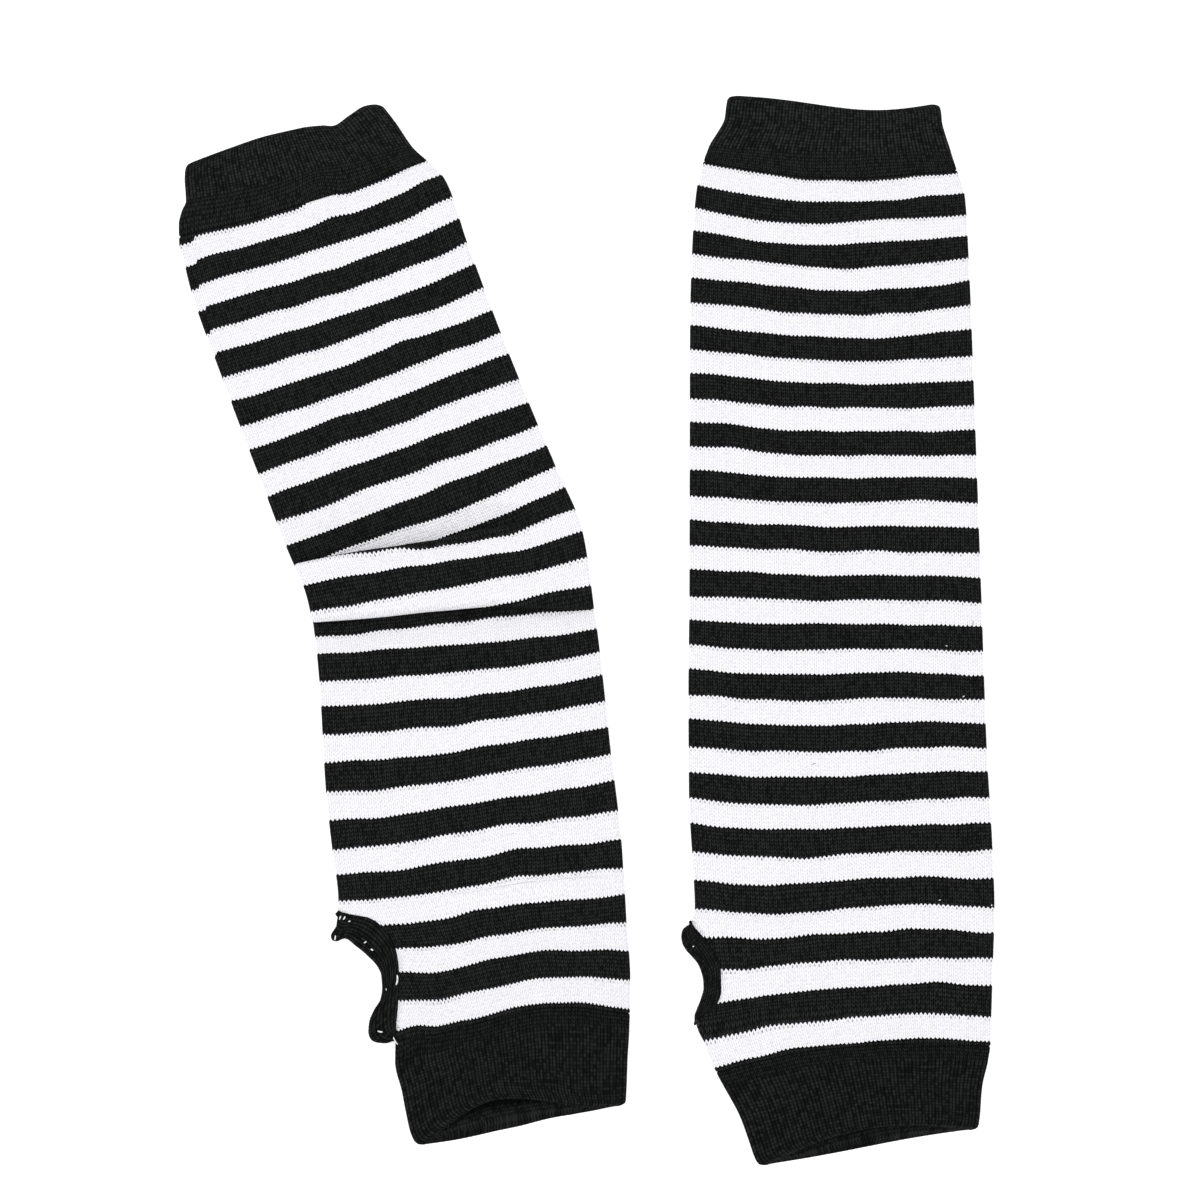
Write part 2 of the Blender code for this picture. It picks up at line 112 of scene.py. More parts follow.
@dataclass(frozen=True)
class CourseLine:
    """How a course lies between its side edges, in millimetres.

    bow is how far its middle lies towards the hand, and lean what its left quarter lies further than its
    right one. gape is what the panels stand apart at the middle. under is the bow and the lean of the panel
    underneath, where it has its own.
    """

    stripe: float
    bow: float
    lean: float
    gape: float
    under: Optional[tuple[float, float]] = None


@dataclass(frozen=True)
class HemPoint:
    """A point on the elbow hem: its share across, and how far it runs out past the smooth bow, in mm."""

    across: float
    out: float


@dataclass(frozen=True)
class Tuck:
    """Slack cloth folded in across the tube.

    Its middle is given in stripes and the cloth that it hides in millimetres, each at even places from left
    to right.
    """

    middle: tuple[float, ...]
    hidden: tuple[float, ...]


@dataclass(frozen=True)
class BandPoint:
    """A place along a thumb band: where it meets the tube, in stripes, and its free edge, in mm."""

    stripe: float
    free_x: float
    free_y: float


@dataclass(frozen=True)
class Opening:
    """The thumb opening, in stripes from the upper seam."""

    top: float
    bottom: float


@dataclass(frozen=True)
class Ripple:
    """A soft wave in the courses that runs down the panel.

    It runs from one stripe to another at a share across, is so wide in millimetres, and moves the courses
    towards the hand by shift millimetres where it is strongest, around halfway.
    """

    first: float
    last: float
    across: float
    width: float
    shift: float


@dataclass(frozen=True)
class Jog:
    """Where each round of a tube that is knitted in a spiral steps by a course.

    It is so many wales in from the left edge at the upper seam, and drifts by so many for each stripe.
    """

    wale: float
    drift: float


@dataclass(frozen=True)
class Crease:
    """A soft trough or ridge in a panel.

    It runs from one place to another, each a stripe and a share across, and is width millimetres wide and
    rise millimetres high. A rise below 0 makes a trough.
    """

    stripe_a: float
    across_a: float
    stripe_b: float
    across_b: float
    width: float
    rise: float


@dataclass(frozen=True)
class Wisp:
    """A short end of yarn on the cloth: x, y, length and thickness in mm, then turn and bend in degrees."""

    x: float
    y: float
    length: float
    thick: float
    turn: float
    bend: float = 0.0


@dataclass(frozen=True)
class Design:
    """What sets one arm warmer apart from the other."""

    name: str
    seed: int
    left_edge: tuple[EdgePoint, ...]
    right_edge: tuple[EdgePoint, ...]
    courses: tuple[CourseLine, ...]
    opening: Opening
    band: tuple[BandPoint, ...]
    jog: Jog
    elbow_hem: tuple[HemPoint, ...] = ()
    tucks: tuple[Tuck, ...] = ()
    ripples: tuple[Ripple, ...] = ()
    creases: tuple[Crease, ...] = ()
    under_creases: tuple[Crease, ...] = ()
    light_wisps: tuple[Wisp, ...] = ()
    dark_wisps: tuple[Wisp, ...] = ()


STRAIGHT = Design(
    name="right",
    seed=5,
    left_edge=(
        EdgePoint(-3.0, 45.9, 166.2),
        EdgePoint(-2.93, 44.4, 165.8),
        EdgePoint(-2.8, 43.5, 164.7),
        EdgePoint(-2.6, 43.2, 163.1),
        EdgePoint(-2.0, 42.7, 159.2),
        EdgePoint(-1.14, 37.8, 150.5),
        EdgePoint(0, 35.9, 145.2),
        EdgePoint(1, 34.1, 138.3),
        EdgePoint(3, 32.8, 123.9),
        EdgePoint(7, 31.9, 94.8),
        EdgePoint(12, 31.8, 57.4),
        EdgePoint(18, 31.7, 11.4),
        EdgePoint(22, 31.4, -19.7),
        EdgePoint(26, 31.6, -51.9),
        EdgePoint(28, 32.5, -68.3),
        EdgePoint(30, 33.4, -86.0),
        EdgePoint(30.55, 32.5, -90.0),
        EdgePoint(31, 36.8, -95.6),
        EdgePoint(32, 41.5, -104.9),
        EdgePoint(32.6, 41.6, -111.5),
        EdgePoint(33, 40.4, -115.4),
        EdgePoint(33.7, 33.9, -122.1),
        EdgePoint(34, 35.9, -126.8),
        EdgePoint(35, 39.4, -135.5),
        EdgePoint(37, 47.4, -150.5),
        EdgePoint(38, 50.2, -158.1),
        EdgePoint(38.6, 51.8, -162.8),
        EdgePoint(38.85, 52.8, -164.6),
        EdgePoint(38.95, 54.0, -165.4),
        EdgePoint(39, 55.4, -165.6),
    ),
    right_edge=(
        EdgePoint(-3.0, 107.5, 163.6),
        EdgePoint(-2.93, 108.8, 163.1),
        EdgePoint(-2.8, 109.5, 162.1),
        EdgePoint(-2.6, 109.8, 160.9),
        EdgePoint(-2.0, 110.0, 158.3),
        EdgePoint(-1.14, 112.8, 149.0),
        EdgePoint(0, 115.0, 142.3),
        EdgePoint(1, 117.1, 135.8),
        EdgePoint(4, 118.4, 115.8),
        EdgePoint(10, 120.2, 70.1),
        EdgePoint(18, 122.4, 8.9),
        EdgePoint(24, 124.0, -36.3),
        EdgePoint(28, 125.8, -67.9),
        EdgePoint(30, 126.4, -85.5),
        EdgePoint(32, 126.0, -100.9),
        EdgePoint(34, 125.4, -119.6),
        EdgePoint(35, 125.2, -127.5),
        EdgePoint(35.7, 124.4, -132.8),
        EdgePoint(37, 122.5, -141.2),
        EdgePoint(38.6, 121.6, -151.6),
        EdgePoint(38.85, 121.2, -153.2),
        EdgePoint(38.95, 120.5, -154.1),
        EdgePoint(39, 119.4, -154.6),
    ),
    courses=(
        CourseLine(-3.0, 2.2, -0.9, 0),
        CourseLine(-1.14, 1.8, 0, 0),
        CourseLine(0, 3.9, 0.1, 0),
        CourseLine(2, 4.0, 0.5, 0.4),
        CourseLine(6, 3.4, -0.4, 0.8),
        CourseLine(12, 1.5, 0.1, 0.8),
        CourseLine(18, 0.5, 0.5, 0.8),
        CourseLine(24, 1.0, 0.6, 0.8),
        CourseLine(28, 1.4, 1.0, 0.4),
        CourseLine(30, 0.3, 1.3, 0),
        CourseLine(32, -0.9, 0.2, 0),
        CourseLine(34, -3.8, 0, 0.3),
        CourseLine(35, -4.0, -0.3, 0.8),
        CourseLine(37, -5.0, 0, 3.6, under=(-2.5, 0.1)),
        CourseLine(39, -6.8, -0.2, 5.8, under=(0, 0.3)),
    ),
    opening=Opening(30.55, 33.7),
    jog=Jog(-14.0, 0.0),
    band=(
        BandPoint(30.62, 31.7, -90.9),
        BandPoint(30.64, 30.4, -91.7),
        BandPoint(30.66, 29.5, -92.8),
        BandPoint(30.69, 29.2, -94.7),
        BandPoint(30.74, 29.5, -96.6),
        BandPoint(30.82, 30.4, -98.4),
        BandPoint(30.98, 32.4, -100.7),
        BandPoint(31.3, 34.3, -103.0),
        BandPoint(31.55, 35.4, -105.6),
        BandPoint(31.9, 36.0, -108.3),
        BandPoint(32.2, 36.1, -110.5),
        BandPoint(32.7, 35.3, -113.9),
        BandPoint(33.15, 34.0, -117.2),
        BandPoint(33.45, 33.3, -119.3),
        BandPoint(33.62, 33.3, -120.9),
    ),
    ripples=(
        Ripple(-0.6, 1.6, 0.78, 26, 0.7),
        Ripple(0.4, 4.2, 0.64, 20, -1.0),
        Ripple(2.4, 5.8, 0.24, 26, -0.9),
        Ripple(6.4, 9.6, 0.76, 26, -0.6),
        Ripple(12.2, 14.8, 0.82, 26, -1.0),
        Ripple(14.2, 16.6, 0.38, 13, -0.8),
        Ripple(22.0, 25.4, 0.6, 10, 0.6),
        Ripple(28.4, 29.6, 0.38, 20, -0.8),
        Ripple(30.2, 32.6, 0.38, 22, -0.8),
        Ripple(31.4, 32.6, 0.76, 30, 0.7),
        Ripple(31.2, 32.5, 0.08, 10, 0.8),
        Ripple(34.0, 36.4, 0.76, 26, -0.8),
    ),
    creases=(
        Crease(0.2, 0.42, 4.6, 0.66, 9, 0.6),
        Crease(2.0, 0.12, 5.8, 0.34, 9, 0.5),
        Crease(7.2, 0.88, 13.6, 0.74, 12, 0.5),
        Crease(14.6, 0.30, 18.4, 0.52, 11, 0.4),
        Crease(21.4, 0.68, 25.6, 0.56, 10, 0.5),
        Crease(28.2, 0.20, 32.4, 0.46, 10, 0.6),
        Crease(33.2, 0.60, 35.6, 0.92, 9, 0.5),
    ),
    light_wisps=(
        Wisp(32.9, -97.6, 0.5, 0.4, 30),
        Wisp(116.7, -20.1, 0.7, 0.3, 40),
        Wisp(111.4, -4.4, 0.6, 0.3, -20),
        Wisp(125.4, -84.8, 0.6, 0.3, 70),
        Wisp(109.3, -83.2, 0.7, 0.25, 15, 30),
    ),
    dark_wisps=(
        Wisp(119.5, 2.4, 2.2, 0.16, 75, 40),
        Wisp(70.2, -41.0, 1.6, 0.14, 15, -35),
        Wisp(34.2, -121.2, 2.4, 1.3, -66, -10),
    ),
    under_creases=(
        Crease(1.2, 0.75, 5.4, 0.50, 10, 0.6),
        Crease(9.5, 0.25, 14.5, 0.48, 12, 0.7),
        Crease(19.0, 0.80, 23.0, 0.62, 10, 0.5),
        Crease(26.0, 0.30, 31.0, 0.55, 11, 0.6),
    ),
)

BENT = Design(
    name="left",
    seed=11,
    left_edge=(
        EdgePoint(-3.0, -122.3, 145.6),
        EdgePoint(-2.92, -123.7, 144.9),
        EdgePoint(-2.8, -124.4, 143.9),
        EdgePoint(-2.6, -124.7, 142.7),
        EdgePoint(-2.0, -124.8, 140.0),
        EdgePoint(-1.14, -124.4, 133.6),
        EdgePoint(-0.82, -125.7, 130.6),
        EdgePoint(-0.45, -126.7, 126.3),
        EdgePoint(0, -126.6, 120.8),
        EdgePoint(1, -124.9, 113.9),
        EdgePoint(2, -123.2, 106.9),
        EdgePoint(6, -113.2, 78.6),
        EdgePoint(10, -102.0, 48.8),
        EdgePoint(14, -90.4, 19.4),
        EdgePoint(17, -87.8, 14.3),
        EdgePoint(18, -85.6, 6.3),
        EdgePoint(20, -84.5, -1.5),
        EdgePoint(22, -83.1, -15.4),
        EdgePoint(26, -81.0, -50.1),
        EdgePoint(28, -79.1, -67.6),
        EdgePoint(30, -77.2, -83.6),
        EdgePoint(30.35, -77.4, -86.5),
        EdgePoint(30.7, -66.9, -88.9),
        EdgePoint(31.1, -62.8, -92.5),
        EdgePoint(32, -59.3, -98.4),
        EdgePoint(33, -58.3, -105.8),
        EdgePoint(34, -58.5, -114.5),
        EdgePoint(35, -59.4, -125.1),
        EdgePoint(35.7, -59.6, -132.8),
        EdgePoint(37, -57.5, -142.7),
        EdgePoint(38, -56.0, -150.6),
        EdgePoint(38.5, -54.9, -155.3),
        EdgePoint(38.75, -53.9, -157.6),
        EdgePoint(38.9, -52.6, -158.9),
        EdgePoint(39, -50.6, -159.3),
    ),
    right_edge=(
        EdgePoint(-3.0, -65.2, 163.0),
        EdgePoint(-2.93, -63.7, 162.3),
        EdgePoint(-2.8, -62.3, 160.9),
        EdgePoint(-2.6, -61.1, 159.5),
        EdgePoint(-2.0, -58.8, 156.5),
        EdgePoint(-1.14, -54.3, 150.2),
        EdgePoint(0, -48.9, 145.5),
        EdgePoint(1, -44.5, 141.0),
        EdgePoint(4, -37.2, 120.9),
        EdgePoint(8, -26.7, 92.6),
        EdgePoint(12, -15.2, 64.1),
        EdgePoint(14, -9.7, 51.3),
        EdgePoint(17, -1.3, 30.6),
        EdgePoint(20, 2.1, 7.8),
        EdgePoint(22, 4.0, -6.5),
        EdgePoint(26, 7.4, -37.6),
        EdgePoint(29, 10.6, -64.7),
        EdgePoint(32, 12.2, -90.0),
        EdgePoint(34, 13.4, -108.0),
        EdgePoint(35, 13.3, -117.3),
        EdgePoint(37, 12.5, -132.2),
        EdgePoint(38.7, 11.9, -144.7),
        EdgePoint(38.9, 11.5, -146.1),
        EdgePoint(39, 10.2, -147.1),
    ),
    courses=(
        CourseLine(-3.0, 0.1, -0.6, 0),
        CourseLine(-1.14, 0.5, 0.5, 0),
        CourseLine(0, 1.8, -0.1, 0),
        CourseLine(4, 2.3, -0.3, 0.6),
        CourseLine(7, 1.2, 0.4, 0.8),
        CourseLine(11, 0.1, 0.2, 0.6),
        CourseLine(14, 1.2, -0.8, 0),
        CourseLine(17, -1.4, -0.3, 0),
        CourseLine(20, -1.8, 1.5, 0),
        CourseLine(22, -0.1, 0.8, 0.4),
        CourseLine(26, -0.1, 1.3, 0.8),
        CourseLine(28, -1.4, 1.7, 0.6),
        CourseLine(30, -1.6, 2.0, 0),
        CourseLine(31, -3.1, 0.6, 0),
        CourseLine(33, -2.7, 2.1, 0),
        CourseLine(35, -5.5, 2.6, 0.8),
        CourseLine(37, -7.7, 0.6, 3.6, under=(-4.2, 1.1)),
        CourseLine(39, -10.5, -1.5, 5.8, under=(-1.3, 1.6)),
    ),
    tucks=(
        Tuck(
            (15.55, 15.62, 15.72, 15.82, 15.82, 15.72, 15.8, 16.0, 16.1),
            (17.6, 15.0, 12.4, 9.8, 6.9, 4.5, 2.2, 0.8, 0.3),
        ),
        Tuck((18.65, 18.88, 19.06, 19.42, 19.9), (8.3, 7.4, 5.3, 3.2, 1.8)),
    ),
    ripples=(
        Ripple(-1.5, 1.4, 0.58, 11, -2.3),
        Ripple(-0.9, 1.9, 0.08, 12, -0.8),
        Ripple(-1.2, 2.2, 0.94, 14, -1.0),
        Ripple(1.2, 3.2, 0.8, 18, 1.2),
        Ripple(2.5, 5.2, 0.92, 16, 0.8),
        Ripple(4.5, 7.6, 0.82, 16, 1.1),
        Ripple(5.0, 8.5, 0.66, 9, -0.9),
        Ripple(6.4, 8.8, 0.9, 14, 0.9),
        Ripple(8.2, 10.2, 0.33, 24, -0.8),
        Ripple(11.0, 14.2, 0.15, 26, 0.8),
        Ripple(12.3, 13.8, 0.7, 26, -1.2),
        Ripple(14.3, 15.6, 0.57, 16, -0.9),
        Ripple(15.0, 17.1, 0.5, 64, 2.6),
        Ripple(15.2, 16.9, 0.15, 26, 0.7),
        Ripple(15.3, 17.0, 0.41, 16, 0.5),
        Ripple(15.2, 17.6, 0.75, 14, 0.9),
        Ripple(16.2, 18.9, 0.24, 50, 0.7),
        Ripple(18.2, 20.4, 0.24, 60, 1.0),
        Ripple(19.3, 21.8, 0.58, 44, 1.0),
        Ripple(20.2, 21.9, 0.0, 110, -1.5),
        Ripple(22.4, 28.0, 0.76, 26, -0.6),
        Ripple(30.0, 33.0, 0.2, 20, 1.2),
        Ripple(32.3, 33.9, 0.17, 14, 1.2),
        Ripple(32.4, 33.8, 0.48, 30, -1.2),
        Ripple(33.4, 35.6, 0.18, 12, 1.1),
        Ripple(34.2, 36.2, 0.08, 10, -1.5),
        Ripple(34.2, 36.0, 0.19, 14, -1.2),
    ),
    creases=(
        Crease(-2.6, 0.44, 0.9, 0.58, 8, 1.3),
        Crease(-1.4, 0.70, 1.8, 0.88, 7, 1.0),
        Crease(-1.0, 0.08, 0.8, 0.36, 9, 0.5),
        Crease(11.5, 0.16, 14.2, 0.62, 12, 0.6),
        Crease(13.2, 0.62, 15.9, 0.97, 8, 0.8),
        Crease(16.4, 0.58, 18.6, 0.98, 9, 0.7),
        Crease(20.3, 0.10, 21.4, 0.55, 8, 0.4),
        Crease(26.2, 0.30, 31.8, 0.10, 10, 0.6),
        Crease(29.8, 0.30, 34.6, 0.55, 9, 0.5),
        Crease(4.2, 0.72, 8.2, 0.92, 10, 0.5),
    ),
    light_wisps=(
        Wisp(-76.6, -88.7, 1.3, 0.45, 70),
        Wisp(-75.3, -88.8, 1.3, 0.45, 60),
        Wisp(-73.7, -89.8, 0.7, 0.4, 10),
        Wisp(-78.1, -94.9, 1.5, 0.45, 80),
        Wisp(-68.8, -96.3, 1.0, 0.4, 35),
        Wisp(-66.7, -98.6, 0.9, 0.5, -35),
        Wisp(-62.3, -110.9, 0.6, 0.3, 90),
        Wisp(-64.2, -124.0, 1.7, 0.5, -12, 14),
        Wisp(-58.9, -108.0, 3.2, 0.6, 84, 20),
        Wisp(-59.5, -126.9, 2.8, 0.45, -60, 16),
    ),
    dark_wisps=(Wisp(-57.6, -98.3, 0.8, 0.3, 60),),
    under_creases=(
        Crease(-0.8, 0.20, 2.6, 0.45, 9, 0.5),
        Crease(6.0, 0.85, 10.5, 0.55, 11, 0.7),
        Crease(12.2, 0.10, 13.8, 0.58, 8, 0.5),
        Crease(22.0, 0.80, 26.8, 0.45, 12, 0.7),
        Crease(28.5, 0.25, 33.5, 0.50, 10, 0.6),
    ),
    opening=Opening(30.35, 34.8),
    jog=Jog(4.4, -0.65),
    band=(
        BandPoint(30.43, -77.4, -88.5),
        BandPoint(30.44, -77.7, -90.3),
        BandPoint(30.45, -77.9, -92.2),
        BandPoint(30.46, -78.8, -93.0),
        BandPoint(30.47, -79.5, -94.2),
        BandPoint(30.48, -79.2, -95.6),
        BandPoint(30.5, -77.9, -96.1),
        BandPoint(30.55, -75.2, -95.2),
        BandPoint(30.68, -71.9, -97.4),
        BandPoint(30.9, -68.8, -99.9),
        BandPoint(31.3, -64.8, -104.3),
        BandPoint(31.6, -63.9, -106.5),
        BandPoint(32.1, -63.6, -110.8),
        BandPoint(32.6, -64.2, -114.2),
        BandPoint(33.2, -66.1, -117.3),
        BandPoint(33.8, -67.6, -121.0),
        BandPoint(34.2, -67.9, -124.1),
        BandPoint(34.5, -67.0, -126.6),
        BandPoint(34.7, -65.1, -127.5),
        BandPoint(34.85, -62.5, -127.7),
        BandPoint(35.0, -60.2, -127.0),
    ),
    elbow_hem=(
        HemPoint(0, 0),
        HemPoint(0.2, 0.3),
        HemPoint(0.42, 0.9),
        HemPoint(0.58, 0.8),
        HemPoint(0.7, -0.2),
        HemPoint(0.77, -1.4),
        HemPoint(0.85, 0.2),
        HemPoint(0.93, 1.4),
        HemPoint(1, 0.6),
    ),
)


class Curve:
    """A smooth line through a table's values, which never overshoots and runs straight past its ends."""

    def __init__(self, keys: list[float], values: list[float]) -> None:
        """Works out the slopes at the table's keys.

        Args:
            keys: Where the values stand, in rising order.
            values: The values there.
        """
        self.keys = np.array(keys, float)
        self.values = np.array(values, float)
        steps = np.diff(self.keys)
        rates = np.diff(self.values) / steps
        before, after = rates[:-1], rates[1:]
        near, far = steps[1:] + 2 * steps[:-1], 2 * steps[1:] + steps[:-1]
        level = before * after <= 0
        weighed = far / np.where(level, 1, before) + near / np.where(level, 1, after)
        inner = np.where(level, 0, (near + far) / np.where(level, 1, weighed))
        self.slopes = np.concatenate([rates[:1], inner, rates[-1:]])

    def __call__(self, at: Number) -> Number:
        """The curve's value.

        Args:
            at: One place or an array of them.

        Returns:
            The values there, in the same shape.
        """
        place = np.clip(at, self.keys[0], self.keys[-1])
        i = np.clip(np.searchsorted(self.keys, place) - 1, 0, len(self.keys) - 2)
        step = self.keys[i + 1] - self.keys[i]
        u = (place - self.keys[i]) / step
        value = (
            self.values[i] * (1 + 2 * u) * (1 - u) ** 2
            + self.values[i + 1] * u * u * (3 - 2 * u)
            + step * self.slopes[i] * u * (1 - u) ** 2
            - step * self.slopes[i + 1] * u * u * (1 - u)
        )
        end_slope = np.where(at < self.keys[0], self.slopes[0], self.slopes[-1])
        return value + (at - place) * end_slope


def ease(share: Number) -> Number:
    """A smooth step from 0 to 1, as a share goes from 0 to 1."""
    held = np.clip(share, 0, 1)
    return held * held * (3 - 2 * held)


class FoldedTuck:
    """A tuck as it lies: an S of two turns with a straight run between, worked out from what it hides."""

    RADIUS = 1.5 * MM
    SHORTEST_TURN = 3.6 * MM
    FULL_TURN = 2 * math.pi * RADIUS
    ANGLES = np.linspace(0.02, math.pi, 160)
    TURNS = np.maximum(ANGLES * RADIUS, SHORTEST_TURN)
    HIDES = 2 * TURNS * (1 - np.sin(ANGLES) / ANGLES)

    def __init__(self, tuck: Tuck) -> None:
        """Reads the tuck's places and hidden lengths.

        Args:
            tuck: The tuck as the design gives it.
        """
        places = list(np.linspace(0, 1, len(tuck.hidden)))
        self.middle = Curve(places, [stripe * STRIPE for stripe in tuck.middle])
        self.hidden = Curve(places, [length * MM for length in tuck.hidden])

    def sizes(self, t: Number) -> tuple[Number, Number, Number, Number]:
        """The tuck's sizes at a share across.

        Args:
            t: Share across the panel.

        Returns:
            Steepest angle, length of each turn, length of the straight run and where the first turn starts.
        """
        hidden = self.hidden(np.clip(t, 0, 1))
        angle = np.interp(hidden, self.HIDES, self.ANGLES)
        turn = np.maximum(angle * self.RADIUS, self.SHORTEST_TURN)
        run = np.maximum(hidden - self.FULL_TURN, 0) / 2
        start = self.middle(np.clip(t, 0, 1)) - turn - run / 2
        return angle, turn, run, start

    def lost_and_height(self, s: Number, t: Number) -> tuple[Number, Number]:
        """How the tuck takes up cloth.

        Args:
            s: Place along the tube.
            t: Share across the panel.

        Returns:
            How much cloth is hidden before that place, and how far the cloth there has climbed.
        """
        angle, turn, run, start = self.sizes(t)
        radius = turn / angle
        x = np.clip(s - start, 0, 2 * turn + run)
        first = np.minimum(x, turn)
        straight = np.clip(x - turn, 0, run)
        last = turn - np.clip(x - turn - run, 0, turn)
        second_lies = radius * (np.sin(angle) - np.sin(angle * last / turn))
        second_climbs = radius * (np.cos(angle * last / turn) - np.cos(angle))
        lies = radius * np.sin(angle * first / turn) + straight * np.cos(angle) + second_lies
        climbs = radius * (1 - np.cos(angle * first / turn)) + straight * np.sin(angle) + second_climbs
        return x - lies, climbs

    def start(self, t: Number) -> Number:
        """Where the first turn starts."""
        return self.sizes(t)[3]

    def end(self, t: Number) -> Number:
        """Where the second turn ends."""
        _, turn, run, start = self.sizes(t)
        return start + 2 * turn + run

    def section(self, share: float, second: bool) -> Section:
        """A section a share of the way round one of the two turns.

        Args:
            share: How far round.
            second: True for the second turn.

        Returns:
            The section.
        """

        def place(t: Array) -> Array:
            """Where the section lies along the tube, at a share across."""
            _, turn, run, start = self.sizes(t)
            return start + turn * share + (turn + run if second else 0)

        return place


class Waves:
    """Smooth unevenness over a panel: a sum of soft waves in all directions, with no repeat in sight."""

    COUNT = 28

    def __init__(self, seed: int, shortest: float, longest: float) -> None:
        """Draws the waves.

        Args:
            seed: Fixes the draw.
            shortest: Length of the shortest wave.
            longest: Length of the longest wave.
        """
        draw = np.random.default_rng(seed)
        lengths = np.exp(draw.uniform(math.log(shortest), math.log(longest), self.COUNT))
        angles = draw.uniform(0, 2 * math.pi, self.COUNT)
        self.down = np.cos(angles) * 2 * math.pi / lengths
        self.across = np.sin(angles) * 2 * math.pi / lengths
        self.phase = draw.uniform(0, 2 * math.pi, self.COUNT)
        weight = lengths**0.5
        self.weight = weight / math.sqrt((weight**2).sum() / 2)

    def __call__(self, s: Array, x: Array) -> Array:
        """The unevenness, about 1 either way.

        Args:
            s: Places along the tube.
            x: Places across it, as lengths.

        Returns:
            The height there.
        """
        total = np.zeros(np.broadcast(s, x).shape)
        for down, across, phase, weight in zip(self.down, self.across, self.phase, self.weight):
            total += weight * np.sin(down * s + across * x + phase)
        return total


class Region(Enum):
    """The stretches of a ring round the tube, in order, from the middle of its underside back to it."""

    UNDER_LEFT = 0
    LEFT_TURN = 1
    UPPER = 2
    RIGHT_TURN = 3
    UNDER_RIGHT = 4


LEFT_EDGE = Region.LEFT_TURN.value + 0.5
RIGHT_EDGE = Region.RIGHT_TURN.value + 0.5
REGION_ENDS = tuple(range(len(Region) + 1))


